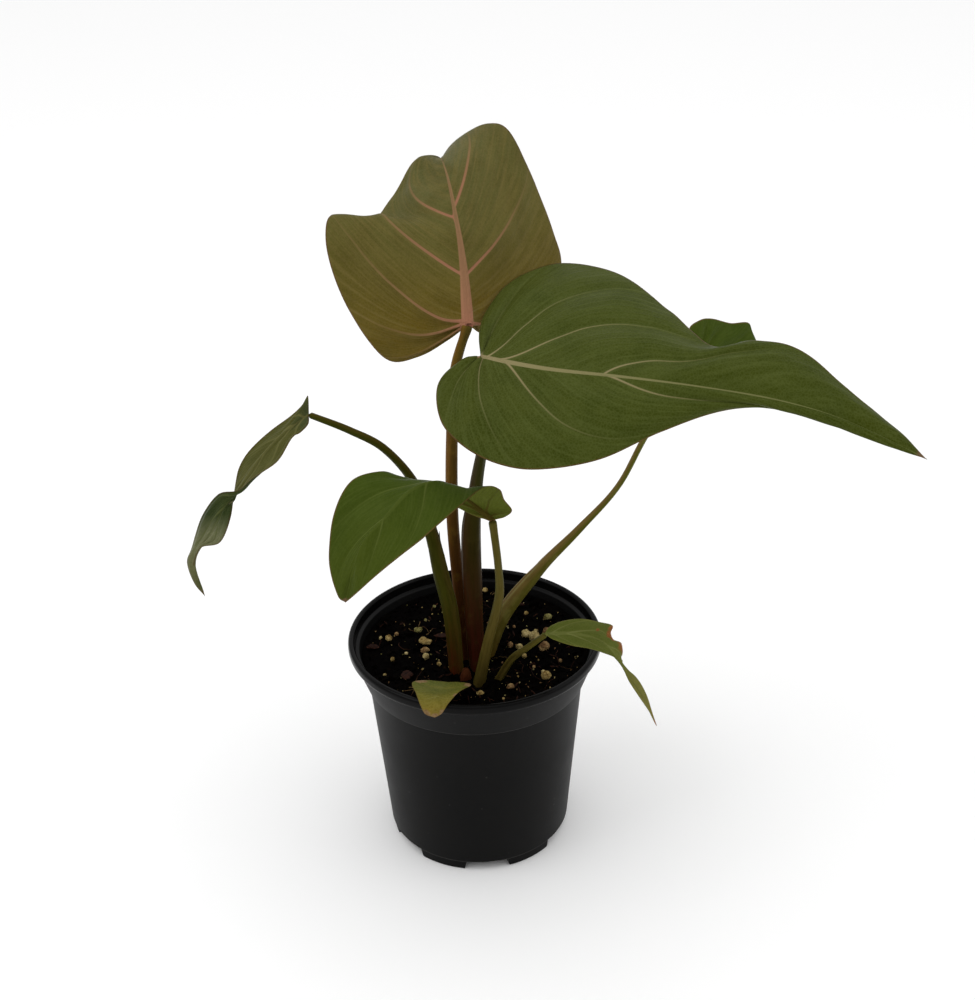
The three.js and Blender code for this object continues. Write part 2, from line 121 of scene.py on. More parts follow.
def noise(tree, where, scale, detail=2.0, roughness=0.5, distortion=0.0, out=0):
    inputs = {"Vector": where, "Scale": scale, "Detail": detail, "Roughness": roughness,
              "Distortion": distortion}
    return addNode(tree, "ShaderNodeTexNoise", inputs, out=out)


def finish(tree, shader, tone, height=None, strength=0.5, depth=0.0004):
    # the colour and, where there is one, the fine relief go to the shader
    tree.links.new(tone, shader.inputs["Base Color"])
    if height is not None:
        normal = addNode(tree, "ShaderNodeBump", {"Height": height, "Strength": strength, "Distance": depth})
        tree.links.new(normal, shader.inputs["Normal"])


def smoothLine(points, t):
    # Catmull-Rom through the points, each span taking the same share of t from 0 to 1
    points = np.array(points, float)
    spans = len(points) - 1
    ends = np.vstack([2 * points[0] - points[1], points, 2 * points[-1] - points[-2]])
    k = np.clip((t * spans).astype(int), 0, spans - 1)
    f = (t * spans - k)[..., None]
    a, b, c, d = (ends[k + i] for i in range(4))
    square, cube = 2 * a - 5 * b + 4 * c - d, 3 * b - a - 3 * c + d
    return 0.5 * (2 * b + (c - a) * f + square * f ** 2 + cube * f ** 3)


def unit(v):
    return v / np.maximum(np.linalg.norm(v, axis=-1, keepdims=True), 1e-9)


def ease(low, high, x):
    # 0 below low, 1 above high, with a smooth cubic between
    t = np.clip((x - low) / (high - low), 0, 1)
    return t * t * (3 - 2 * t)


def latticeNoise(p, cell, seed):
    # random values on a cubic lattice, blended smoothly between the eight corners round each point
    table = np.random.default_rng(seed).uniform(-1, 1, (32, 32, 32))
    g = np.asarray(p, float) / cell
    low = np.floor(g).astype(int)
    f = g - low
    f = f * f * (3 - 2 * f)
    total = 0
    for corner in np.ndindex(2, 2, 2):
        share = np.prod(np.where(corner, f, 1 - f), axis=-1)
        i, j, k = np.moveaxis((low + corner) % 32, -1, 0)
        total = total + share * table[i, j, k]
    return total


def makePiece(name, points, faces, materials, nodes=(), faceMaterial=None, fields=None, weld=False):
    # points in mm and faces become one smooth mesh object that rides on the plant's body
    mesh = bpy.data.meshes.new(name)
    mesh.from_pydata((np.asarray(points) * mm).tolist(), [], [list(map(int, f)) for f in faces])
    for material in materials:
        mesh.materials.append(material)
    if faceMaterial is not None:
        mesh.polygons.foreach_set("material_index", np.asarray(faceMaterial, dtype=np.int32))
    for field, values in (fields or {}).items():
        values = np.asarray(values, dtype=np.float32)
        kind, key = ("FLOAT_VECTOR", "vector") if values.ndim == 2 else ("FLOAT", "value")
        mesh.attributes.new(field, kind, "POINT").data.foreach_set(key, values.ravel())
    mesh.polygons.foreach_set("use_smooth", np.ones(len(mesh.polygons), dtype=bool))
    if weld:
        form = bmesh.new()
        form.from_mesh(mesh)
        bmesh.ops.remove_doubles(form, verts=form.verts, dist=2e-7)
        bmesh.ops.dissolve_degenerate(form, edges=form.edges, dist=1e-8)
        form.to_mesh(mesh)
        form.free()
    mesh.update()
    piece = bpy.data.objects.new(name, mesh)
    bpy.context.scene.collection.objects.link(piece)
    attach(piece, "root")
    if nodes:
        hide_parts(*nodes)
    return piece


def gridFaces(rows, columns, closed=False):
    # quads between neighbouring rows and columns of a grid of points; closed joins last column to first
    i, j = np.meshgrid(np.arange(rows - 1), np.arange(columns if closed else columns - 1), indexing="ij")
    n = (j + 1) % columns
    a = i * columns + j
    b = i * columns + n
    return np.stack([a, b, b + columns, a + columns], axis=-1).reshape(-1, 4)


def fitToNode(points, node):
    # stretches each axis a little so that the fine piece fills the same box as its CAD node
    low, high = (np.array(c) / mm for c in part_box(node))
    flat = points.reshape(-1, 3)
    least, most = flat.min(axis=0), flat.max(axis=0)
    return (points - least) / (most - least) * (high - low) + low


viewpoint = {"place": (7.2, -601.1, 496.9), "down": 28.5, "roll": -1.37, "lens": 57.28}
camera = bpy.data.objects.new("viewCamera", bpy.data.cameras.new("viewCamera"))
camera.data.lens = viewpoint["lens"]
camera.data.sensor_width = 36
camera.data.clip_end = 20
camera.matrix_world = (Matrix.Translation(Vector(viewpoint["place"]) * mm)
                       @ Matrix.Rotation(np.radians(90 - viewpoint["down"]), 4, "X")
                       @ Matrix.Rotation(np.radians(viewpoint["roll"]), 4, "Z"))
bpy.context.scene.collection.objects.link(camera)
bpy.context.scene.camera = camera


def leafMaterial(name, look):
    # Living leaf skin: the waxy cuticle gives a satin sheen, the tissue under it is mottled, the main
    # veins stand out with finer ones beside them, and the smallest make a net between.
    wax = {"IOR": 1.42, "Specular_IOR_Level": 0.06, "Specular_Tint": hexColor("#b4b878")}
    material, tree, shader = newMaterial(name, **wax)
    where = objectPlace(tree)
    fields = ("veinPhase", "veinSpacing", "veinWidth", "veinShow", "ribDistance", "ribWidth", "edgeDistance",
              "along", "reach", "stain")
    field = {n: attribute(tree, n) for n in fields}
    # main veins: distance in mm from the nearest one, with a soft edge
    gap = calc(tree, "PINGPONG", field["veinPhase"], 0.5)
    gap = calc(tree, "MULTIPLY", gap, field["veinSpacing"])
    vein = band(tree, gap, calc(tree, "ADD", field["veinWidth"], look["veinSoft"]), field["veinWidth"])
    vein = calc(tree, "MULTIPLY", vein, field["veinShow"])
    glow = calc(tree, "MULTIPLY", band(tree, gap, 2.6, 0.2), field["veinShow"])
    rib = band(tree, field["ribDistance"], calc(tree, "ADD", field["ribWidth"], 0.45), field["ribWidth"])
    # finer veins beside the main ones, seven to a gap, and the net of the smallest, about 1 mm apart
    fine = calc(tree, "PINGPONG", calc(tree, "MULTIPLY", field["veinPhase"], 7.0), 0.5)
    fine = band(tree, fine, 0.24, 0.02)
    wander = noise(tree, where, 500.0, out="Color")
    bent = addNode(tree, "ShaderNodeMix", {0: 0.0012, 4: where, 5: wander}, out=1, data_type="VECTOR")
    net = addNode(tree, "ShaderNodeTexVoronoi", {"Vector": bent, "Scale": 850.0}, feature="DISTANCE_TO_EDGE")
    net = band(tree, net, 0.2, 0.02)
    streak = noise(tree, attribute(tree, "veinRun", "Vector"), 5.0, 5.0, 0.6)
    cloud = noise(tree, where, 60.0, 5.0, 0.6)
    speck = noise(tree, where, 900.0)
    tone = ramp(tree, field["along"], look["stops"])
    tone = blend(tree, band(tree, cloud, 0.4, 0.7, look["mottle"]), tone, look["dark"])
    tone = blend(tree, band(tree, streak, 0.42, 0.66, look["streaks"]), tone, look["pale"])
    tone = blend(tree, band(tree, speck, 0.4, 0.7, 0.2), tone, look["dark"])
    for share, amount in ((net, look["net"]), (fine, look["fine"]), (glow, 0.2)):
        tone = blend(tree, calc(tree, "MULTIPLY", share, amount), tone, look["vein"])
    tone = blend(tree, vein, tone, blend(tree, field["reach"], look["rib"], look["vein"]))
    ribTone = blend(tree, field["along"], look["rib"], look["vein"])
    tone = blend(tree, calc(tree, "MULTIPLY", rib, look["ribShare"]), tone, ribTone)
    tone = blend(tree, band(tree, field["edgeDistance"], 0.75, 0.3, look["hemShare"]), tone, look["hem"])
    tone = blend(tree, field["stain"], tone, blend(tree, speck, look["stain"], look["stainDark"]))
    gloss = band(tree, cloud, 0.3, 0.7, look["roughness"] + 0.07, look["roughness"] - 0.05)
    tree.links.new(gloss, shader.inputs["Roughness"])
    # relief: veins stand up or lie in grooves, the skin between them is finely pebbled
    heights = ((fine, look["relief"] * 0.3), (net, look["relief"] * 0.16), (speck, 0.22), (streak, 0.5))
    relief = calc(tree, "MULTIPLY", vein, look["relief"])
    for share, height in heights:
        relief = calc(tree, "MULTIPLY_ADD", share, height, relief)
    finish(tree, shader, tone, relief)
    return material


plainLook = {"mottle": 0.45, "streaks": 0.3, "net": 0.16, "fine": 0.08, "veinSoft": 0.35, "ribShare": 1.0,
             "hemShare": 0.4, "hem": "#7a4a36", "stain": "#7a6248", "stainDark": "#4a3826", "roughness": 0.4,
             "relief": 1.0}
leafLooks = {
    # the oldest leaf's underside: brown at its base, greyer olive at its tip, with pink-tan veins
    "oliveUnder": {"stops": [(0, "#5f4a10"), (0.3, "#5c4c16"), (0.5, "#595428"), (0.8, "#555632"),
        (1, "#525535")], "dark": "#453e15", "pale": "#726537", "vein": "#7d6b45", "rib": "#9c6953",
        "roughness": 0.42, "streaks": 0.35, "net": 0.1},
    "oliveUpper": {"stops": [(0, "#383e14"), (1, "#3e4018")], "dark": "#27300e", "pale": "#4c4d27",
        "vein": "#6c6743", "rib": "#786e4a", "relief": -1.0},
    # broad leaf: satin green with a cream midrib and thin pale veins
    "broadUpper": {"stops": [(0, "#3c4112"), (0.4, "#3e4517"), (0.8, "#394111"), (1, "#333a08")],
        "dark": "#2c3508", "pale": "#4a5224", "vein": "#5c6436", "rib": "#8c7f5c", "net": 0.2,
        "streaks": 0.5, "mottle": 0.6, "roughness": 0.38, "relief": -1.0, "veinSoft": 0.45},
    "broadUnder": {"stops": [(0, "#525329"), (1, "#52512a")], "dark": "#40441e", "pale": "#61613b",
        "vein": "#7f6e49", "rib": "#917354"},
    # leaf at the front: silky, its veins hardly paler than the blade
    "silkUpper": {"stops": [(0, "#404c16"), (0.5, "#3a4916"), (0.85, "#3e4915"), (1, "#414a17")],
        "dark": "#2b380a", "pale": "#4e5927", "vein": "#47521f", "rib": "#545e2a", "ribShare": 0.5,
        "roughness": 0.34, "relief": -0.7, "fine": 0.05, "hemShare": 0.35},
    "silkUnder": {"stops": [(0, "#535c1e"), (1, "#5a5f26")], "dark": "#444c15", "pale": "#626b2e",
        "vein": "#3e3e12", "rib": "#483e15"},
    # twisted leaf: grey-green above, olive below, beige at its tail
    "greyUpper": {"stops": [(0, "#313a19"), (0.5, "#2f3919"), (0.66, "#27321a"), (0.74, "#6c6d50"),
        (1, "#64613f")], "dark": "#252e0f", "pale": "#474f2b", "vein": "#4e5430", "rib": "#4f542e",
        "ribShare": 0.5, "relief": -0.7, "hem": "#4b2214"},
    "greyUnder": {"stops": [(0, "#3c4530"), (0.1, "#41482a"), (0.18, "#4a4a20"), (0.5, "#54532e"),
        (0.7, "#72715a"), (1, "#6a6849")], "dark": "#393c1a", "pale": "#5b5c34", "vein": "#5f5e37",
        "rib": "#636138", "ribShare": 0.6, "hem": "#502416"},
    # young leaf: light green, straw and brown towards its torn tip
    "youngUpper": {"stops": [(0, "#4f5820"), (0.55, "#535b27"), (0.72, "#6c6834"), (0.9, "#787140"),
        (1, "#77582d")], "dark": "#404a16", "pale": "#666b33", "vein": "#6b6f38", "rib": "#6d723e",
        "ribShare": 0.5, "roughness": 0.48, "relief": -0.5, "hem": "#766f36", "stain": "#976439",
        "stainDark": "#643d1d"},
    "youngUnder": {"stops": [(0, "#535b29"), (1, "#69663c")], "dark": "#454c1d", "pale": "#656a3c",
        "vein": "#6e7144", "rib": "#707144", "roughness": 0.48},
    # fallen scrap: green going yellow, brown where it is torn
    "yellowed": {"stops": [(0, "#3f4c16"), (0.4, "#4d561c"), (0.66, "#7c6e2a"), (1, "#8c6426")],
        "dark": "#444416", "pale": "#80773c", "vein": "#857a3c", "rib": "#7c783a", "net": 0.25, "fine": 0.1,
        "ribShare": 0, "stain": "#9a8460", "stainDark": "#573719", "roughness": 0.5, "hem": "#624e2b"},
}
leafMaterials = {name: leafMaterial(name, {**plainLook, **look}) for name, look in leafLooks.items()}


def veinPhase(u, v, starts, ends, bows):
    # Vein number k leaves the midrib at starts[k] and reaches the margin at ends[k]; its bow says how
    # early it turns that way. Between veins the phase rises evenly from one whole number to the next.
    phase = np.empty_like(u)
    for j in range(u.shape[1]):
        knots = np.array(starts) + (np.array(ends) - np.array(starts)) * abs(v[0, j]) ** np.array(bows)
        phase[:, j] = np.interp(u[:, j], np.maximum.accumulate(knots), np.arange(len(knots)))
    return phase


def sheetNormal(sheet):
    # across the blade crossed with along it, from the differences between neighbouring points
    normal = unit(np.cross(np.gradient(sheet, axis=1), np.gradient(sheet, axis=0)))
    normal[0], normal[-1] = normal[1], normal[-2]
    return normal


def bladeShape(leaf):
    # A smooth line for the midrib and one for each margin; the blade spans between them, bulges a
    # little, swells between its veins like a quilt, and may be pleated along its length.
    half = leaf["half"]
    u, v = np.meshgrid(np.linspace(0, 1, leaf["rows"]), np.linspace(-1, 1, 2 * half + 1), indexing="ij")
    reach = np.abs(v)
    rib = bladeLine(leaf, "midrib", u ** leaf["ribPace"])
    margin = np.where(v[..., None] < 0, bladeLine(leaf, "left", u), bladeLine(leaf, "right", u))
    sheet = rib * (1 - reach[..., None]) + margin * reach[..., None]
    swelling = leaf["bulge"] * 4 * reach * (1 - reach) * np.sin(np.pi * u)
    sheet = sheet + sheetNormal(sheet) * swelling[..., None]
    sheet = fitToNode(sheet, leaf["node"])
    phase = np.where(v < 0, veinPhase(u, v, *leaf["veinsLeft"]), veinPhase(u, v, *leaf["veinsRight"]))
    count = np.where(v < 0, len(leaf["veinsLeft"][0]) - 1, len(leaf["veinsRight"][0]) - 1)
    apart = np.abs(phase - np.round(phase)) * 2
    middling = ease(0.0, 0.35, reach) * (1 - 0.95 * ease(0.7, 1.0, reach))
    middling = middling * ease(0, 0.1, u) * (1 - ease(0.9, 1, u))
    lift = leaf["quilt"] * (np.sin(np.pi / 2 * apart) ** 0.8 - 0.5) * middling
    pleats, height = leaf.get("pleats", (0, 0))
    lift = lift + height * np.sin(2 * np.pi * pleats * v) * ease(0, 0.12, u) * (1 - ease(0.75, 1, u))
    uneven = latticeNoise(sheet, 9, 3) * 0.35 * ease(0, 0.2, reach) * ease(0, 0.08, u)
    sheet = sheet + sheetNormal(sheet) * ((lift + uneven) * leaf["upperSide"])[..., None]
    return u, v, sheet, phase, count


def above(points, leaf):
    # points are x, y and height over the mix; on the rim, x, distance outside it and height over it
    x, y, z = np.array(points, float).T
    if leaf.get("onRim"):
        return np.stack([x, -rimRadius - y, rimTop + z], axis=-1)
    return np.stack([x, y, mixLevel + z], axis=-1)


def bladeLine(leaf, line, t):
    # from the joint with the stalk, through the line's own points, to the tip
    return smoothLine(above([leaf["joint"], *leaf[line], leaf["tip"]], leaf), t)


def makeLeaf(name, leaf):
    # The blade's two skins lie half its thickness to each side and meet at the margin. The lower one
    # swells into a keel along the midrib. Vein widths and distances are handed to the skin in mm.
    u, v, sheet, phase, count = bladeShape(leaf)
    reach = np.abs(v)
    along, across = np.gradient(sheet, axis=0), np.gradient(sheet, axis=1)
    pu, pv = np.gradient(phase, axis=0), np.gradient(phase, axis=1)
    ee, ff, gg = (along ** 2).sum(-1), (along * across).sum(-1), (across ** 2).sum(-1)
    steep = (gg * pu ** 2 - 2 * ff * pu * pv + ee * pv ** 2) / np.maximum(ee * gg - ff ** 2, 1e-6)
    ribDistance = np.linalg.norm(sheet - sheet[:, leaf["half"]:leaf["half"] + 1], axis=-1)
    edgeDistance = np.minimum(np.linalg.norm(sheet - sheet[:, :1], axis=-1),
                              np.linalg.norm(sheet - sheet[:, -1:], axis=-1))
    ribWidth = leaf["ribWidth"] / 2 * (1 - u ** leaf["ribPace"]) ** leaf["ribTaper"] + 0.1
    main = ease(0.3, 0.7, phase) * ease(0.3, 0.7, count - phase)
    show = main * (1 - leaf["veinFade"] * ease(0.1, 0.95, reach)) * (1 - 0.3 * u)
    width = leaf["veinWidth"] / 2 * (1 - 0.7 * reach) * (1 - 0.4 * u)
    stain = np.zeros_like(u)
    ragged = latticeNoise(sheet, 1.6, 11) * 0.5 + latticeNoise(sheet, 0.7, 12) * 0.3
    for place, side, size in leaf.get("stains", ()):
        spot = sheet[int(place * (leaf["rows"] - 1)), int((side + 1) * leaf["half"])]
        distance = np.linalg.norm(sheet - spot, axis=-1)
        stain = np.maximum(stain, 1 - ease(size * 0.6, size, distance + ragged * size * 0.4))
    edgeOff = (1 - reach ** 8) * (1 - np.abs(2 * u - 1) ** 24)
    thick = leaf.get("thickness", 0.5) / 2 * np.sqrt(np.clip(edgeOff, 0, 1))
    keel = leaf["ribHeight"] * np.exp(-(ribDistance / (ribWidth * 1.3 + 0.1)) ** 2)
    keel = keel * (1 - u) ** 0.6 * ease(0, 0.01, u)
    normal = sheetNormal(sheet) * leaf["upperSide"]
    upper = sheet + normal * thick[..., None]
    under = sheet - normal * (thick + keel)[..., None]
    faces = gridFaces(*u.shape)
    flipUpper = leaf["upperSide"] > 0
    upperFaces = faces[:, ::-1] if flipUpper else faces
    underFaces = (faces if flipUpper else faces[:, ::-1]) + u.size
    spacing = 1 / np.sqrt(np.maximum(steep, 1e-5))
    fields = {"veinPhase": phase, "veinSpacing": spacing, "veinWidth": width, "veinShow": show,
              "ribDistance": ribDistance, "ribWidth": ribWidth, "edgeDistance": edgeDistance, "along": u,
              "reach": reach, "stain": stain}
    fields = {key: np.tile(values.ravel(), 2) for key, values in fields.items()}
    run = np.stack([phase * 3, reach * 0.5, np.sign(v)], axis=-1).reshape(-1, 3)
    fields["veinRun"] = np.tile(run, (2, 1))
    points = np.concatenate([upper.reshape(-1, 3), under.reshape(-1, 3)])
    skins = [leafMaterials[leaf["upper"]], leafMaterials[leaf["under"]]]
    piece = makePiece(name, points, np.concatenate([upperFaces, underFaces]), skins,
                      (leaf["node"],), np.repeat([0, 1], len(faces)), fields, weld=True)
    print("leaf", name, len(piece.data.polygons), "faces")


# Each blade runs from its joint to its tip. Points are x, y and height above the mix. Veins are three
# lists: starts on the midrib, ends on the margin, both as shares of the way along, and bows.
upperLeaf = {
    "node": "leaf_upper", "slot": "leaf_underside", "upper": "oliveUpper", "under": "oliveUnder",
    "rows": 220, "half": 54, "upperSide": -1, "ribPace": 2.2, "bulge": 2, "quilt": 2.2, "ribWidth": 4.8,
    "ribTaper": 3, "ribHeight": 1.2, "veinWidth": 1, "veinFade": 0.85, "joint": [1, -8, 160],
    "tip": [-14, 74, 193],
    "midrib": [[0, 4, 176], [-2, 14, 192], [-5, 28, 206], [-8, 44, 211], [-10, 60, 206]],
    "left": [[-7, -5, 152], [-20, -1, 143], [-32, 1, 141], [-42, 4, 152], [-52, 12, 170], [-56, 18, 188],
        [-53, 25, 196], [-40, 34, 188], [-30, 42, 197], [-19, 49, 211], [-9, 61, 207]],
    "right": [[8, 2, 151], [23, 18, 144], [37, 34, 152], [41, 43, 167], [36, 46, 184], [29, 50, 202],
        [20, 56, 220], [11, 60, 222], [-1, 62, 216], [-8, 67, 207]],
    "veinsLeft": ([0, 0, 0.04, 0.09, 0.44, 0.64, 1], [0, 0.27, 0.38, 0.58, 0.68, 0.86, 1],
        [1, 1, 0.6, 0.7, 0.9, 1.4, 1]),
    "veinsRight": ([0, 0.04, 0.44, 0.67, 1], [0, 0.35, 0.56, 0.8, 1], [1, 0.7, 0.85, 1.3, 1]),
}
broadLeaf = {
    "node": "leaf_broad", "slot": "leaf_green", "upper": "broadUpper", "under": "broadUnder",
    "upperSide": 1, "rows": 280, "half": 66, "ribPace": 1.7, "bulge": 2.5, "quilt": 2, "ribWidth": 2.3,
    "ribTaper": 3.2, "ribHeight": 1, "veinWidth": 0.45, "veinFade": 0.9, "joint": [6, -30, 155],
    "tip": [169, -82, 133],
    "midrib": [[32, -43, 155], [60, -52, 155], [88, -58, 153], [117, -63, 149], [142, -70, 143]],
    "left": [[6, -13, 160], [11, 3, 165], [23, 16, 171], [41, 21, 174], [63, 9, 173], [81, -14, 166],
        [95, -35, 160], [111, -39, 163], [128, -42, 160], [145, -57, 149], [161, -72, 139]],
    "right": [[-2, -26, 152], [-11, -33, 145], [-10, -48, 137], [-1, -61, 132], [12, -70, 129],
        [27, -75, 129], [49, -76, 133], [72, -69, 140], [95, -63, 145], [118, -62, 145], [143, -70, 140],
        [160, -78, 135]],
    "veinsLeft": ([0, 0, 0.03, 0.08, 0.48, 1], [0, 0.3, 0.47, 0.58, 0.76, 1], [1, 1, 0.65, 0.45, 1.2, 1]),
    "veinsRight": ([0, 0, 0, 0.18, 0.48, 1], [0, 0.25, 0.42, 0.62, 0.8, 1], [1, 0.9, 0.8, 0.75, 0.7, 1]),
    "stains": ((1, 0, 5),),
}
rearLeaf = {
    "node": "leaf_rear", "slot": "leaf_green", "upper": "silkUpper", "under": "broadUnder", "upperSide": 1,
    "rows": 160, "half": 36, "ribPace": 1.4, "bulge": 1, "quilt": 1.2, "ribWidth": 2, "ribTaper": 1,
    "ribHeight": 0.7, "veinWidth": 0.35, "veinFade": 0.8, "joint": [104, 50, 121], "tip": [171, 67, 86],
    "midrib": [[117, 56, 113], [133, 62, 103], [152, 66, 93]],
    "left": [[98, 50, 131], [103, 54, 134], [109, 58, 133], [118, 62, 129], [127, 66, 127], [129, 67, 118],
        [141, 69, 102], [159, 69, 91]],
    "right": [[101, 41, 119], [110, 42, 110], [126, 48, 100], [146, 56, 91], [162, 63, 85]],
    "veinsLeft": ([0, 0, 0, 0.02, 0.2, 0.6, 1], [0, 0.15, 0.3, 0.45, 0.6, 0.8, 1],
        [1, 1, 0.8, 0.8, 0.8, 1, 1]),
    "veinsRight": ([0, 0.02, 0.3, 0.6, 1], [0, 0.3, 0.55, 0.8, 1], [1, 1, 1, 1, 1]),
}
frontLeaf = {
    "node": "leaf_front", "slot": "leaf_green", "upper": "silkUpper", "under": "silkUnder", "upperSide": -1,
    "rows": 200, "half": 44, "ribPace": 1.3, "bulge": 1.5, "quilt": 0.8, "ribWidth": 2.2, "ribTaper": 1,
    "ribHeight": 0.7, "veinWidth": 0.6, "veinFade": 0.6, "joint": [9, -44, 90], "tip": [-49, -74, 72],
    "midrib": [[-1, -43, 100], [-11, -48, 110], [-22, -56, 111], [-32, -64, 104], [-42, -70, 94]],
    "left": [[3, -43, 91], [-5, -42, 95], [-18, -41, 102], [-28, -42, 110], [-35, -46, 114],
        [-46, -50, 112], [-53, -57, 101], [-55, -66, 86], [-52, -73, 75]],
    "right": [[14, -42, 90], [17, -42, 93], [14, -44, 99], [12, -46, 105], [6, -50, 108], [-5, -62, 105],
        [-19, -71, 97], [-35, -76, 86], [-44, -77, 78]],
    "veinsLeft": ([0, 0, 0.04, 0.25, 0.5, 0.75, 1], [0, 0.2, 0.4, 0.58, 0.75, 0.88, 1],
        [1, 0.8, 0.8, 0.8, 0.8, 1, 1]),
    "veinsRight": ([0, 0, 0.04, 0.25, 0.5, 0.75, 1], [0, 0.2, 0.4, 0.58, 0.75, 0.88, 1],
        [1, 0.8, 0.8, 0.8, 0.8, 1, 1]),
    "stains": ((1, 0, 2),),
}
twistedLeaf = {
    "node": "leaf_twisted", "slot": "leaf_dark", "upper": "greyUpper", "under": "greyUnder", "upperSide": 1,
    "rows": 200, "half": 44, "ribPace": 1.1, "bulge": 1, "quilt": 0.5, "ribWidth": 1.2, "ribTaper": 1,
    "ribHeight": 0.4, "veinWidth": 0.6, "veinFade": 0.5, "pleats": (2, 0.3), "joint": [-66, -4, 120],
    "tip": [-113, -28, 48],
    "midrib": [[-76, -8, 114], [-86, -12, 105], [-94, -16, 95], [-101, -20, 87], [-108, -22, 76],
        [-116, -24, 63]],
    "left": [[-66, -3, 128], [-69, -2, 123], [-74, -1, 118], [-83, 0, 111], [-92, -4, 104], [-97, -8, 97],
        [-99, -12, 89], [-99, -24, 84], [-104, -28, 74], [-113, -26, 70], [-117, -25, 58]],
    "right": [[-66, -9, 118], [-69, -13, 116], [-72, -16, 115], [-79, -20, 106], [-89, -22, 100],
        [-95, -22, 95], [-105, -16, 90], [-113, -14, 79], [-118, -18, 66], [-120, -22, 61],
        [-117, -27, 54]],
    "veinsLeft": ([0, 0, 0.1, 0.3, 0.6, 1], [0, 0.25, 0.45, 0.65, 0.85, 1], [1, 0.8, 0.8, 0.8, 0.8, 1]),
    "veinsRight": ([0, 0, 0.1, 0.3, 0.6, 1], [0, 0.25, 0.45, 0.65, 0.85, 1], [1, 0.8, 0.8, 0.8, 0.8, 1]),
}
youngLeaf = {
    "node": "leaf_young", "slot": "leaf_young", "upper": "youngUpper", "under": "youngUnder",
    "upperSide": 1, "rows": 180, "half": 40, "ribPace": 1.2, "bulge": 0.6, "quilt": 0.5, "ribWidth": 1.1,
    "ribTaper": 1, "ribHeight": 0.4, "veinWidth": 0.5, "veinFade": 0.5, "joint": [30, -40, 32],
    "tip": [73, -82, 15],
    "midrib": [[41, -43, 34], [51, -49, 35], [58, -58, 34], [62, -67, 31], [67, -75, 26]],
    "left": [[32, -38, 34], [37, -37, 36], [45, -38, 38], [53, -41, 38], [58, -44, 38], [57, -48, 37],
        [58, -50, 35], [61, -51, 34], [61, -54, 32], [59, -58, 32], [62, -64, 31], [66, -71, 30],
        [69, -75, 26], [71, -79, 21]],
    "right": [[34, -43, 31], [41, -46, 30], [48, -50, 31], [54, -55, 32], [59, -60, 32], [62, -66, 30],
        [65, -72, 26], [68, -77, 23], [71, -80, 19]],
    "veinsLeft": ([0, 0.05, 0.2, 0.5, 1], [0, 0.25, 0.5, 0.75, 1], [1, 1, 1, 1, 1]),
    "veinsRight": ([0, 0.05, 0.2, 0.5, 1], [0, 0.25, 0.5, 0.75, 1], [1, 1, 1, 1, 1]),
    "stains": ((0.36, -1, 2.2), (0.42, -1, 2.6), (0.47, -1, 2.4), (0.56, -1, 3.6), (0.61, -1, 3.4),
        (0.33, -0.45, 0.9), (1, 0, 3)),
}
scrapLeaf = {
    "node": "leaf_scrap_on_rim", "slot": "leaf_yellowed", "upper": "yellowed", "under": "yellowed",
    "onRim": True, "upperSide": -1, "rows": 120, "half": 36, "ribPace": 1, "bulge": 0.5, "quilt": 0.4,
    "ribWidth": 0.3, "ribTaper": 1, "ribHeight": 0, "veinWidth": 0, "veinFade": 1, "thickness": 0.35,
    "joint": [-12, -22, -2], "tip": [-17, 3, -2],
    "midrib": [[-14, -13, 0], [-16, -5, 2], [-17, 1, 0]],
    "left": [[-21, -24, -2], [-27, -19, 0], [-25, -8, 2], [-23, -1, 1], [-21, 2, -1]],
    "right": [[-3, -21, -2], [-2, -17, -1], [-7, -9, 1], [-11, -2, 1], [-14, 2, -1]],
    "veinsLeft": ([0, 0.2, 0.5, 1], [0, 0.3, 0.6, 1], [1, 1, 1, 1]),
    "veinsRight": ([0, 0.2, 0.5, 1], [0, 0.3, 0.6, 1], [1, 1, 1, 1]),
    "stains": ((0.24, -1, 3.6), (0.28, 1, 4.2), (0.55, 1, 1.4), (0.85, -1, 2.2), (0.82, 1, 2), (1, 0, 2.2)),
}
leaves = {"upperLeaf": upperLeaf, "broadLeaf": broadLeaf, "rearLeaf": rearLeaf, "frontLeaf": frontLeaf,
          "twistedLeaf": twistedLeaf, "youngLeaf": youngLeaf, "scrapLeaf": scrapLeaf}
for leafName, leaf in leaves.items():
    makeLeaf(leafName, leaf)


def stalkMaterial(name, look):
    # Stalk skin: smooth and waxy over fine lengthwise fibres, with its own colour along the way and a
    # flush of another down one side.
    wax = {"IOR": 1.42, "Specular_IOR_Level": 0.06, "Specular_Tint": hexColor("#c0a878")}
    material, tree, shader = newMaterial(name, Roughness=look["roughness"], **wax)
    streak = noise(tree, attribute(tree, "skinRun", "Vector"), 1.0, 5.0, 0.6)
    patch = noise(tree, objectPlace(tree), 160.0, 3.0)
    place = calc(tree, "ADD", attribute(tree, "along"), calc(tree, "MULTIPLY_ADD", streak, 0.16, -0.08))
    tone = ramp(tree, place, look["stops"])
    flush = calc(tree, "MULTIPLY", attribute(tree, "side"), look["flushShare"])
    tone = blend(tree, flush, tone, look["flush"])
    tone = blend(tree, band(tree, streak, 0.42, 0.75, 0.45), tone, look["dark"])
    tone = blend(tree, band(tree, patch, 0.5, 0.72, 0.35), tone, look["pale"])
    tone = blend(tree, attribute(tree, "lip"), tone, look["lip"])
    finish(tree, shader, tone, streak, 0.4)
    return material


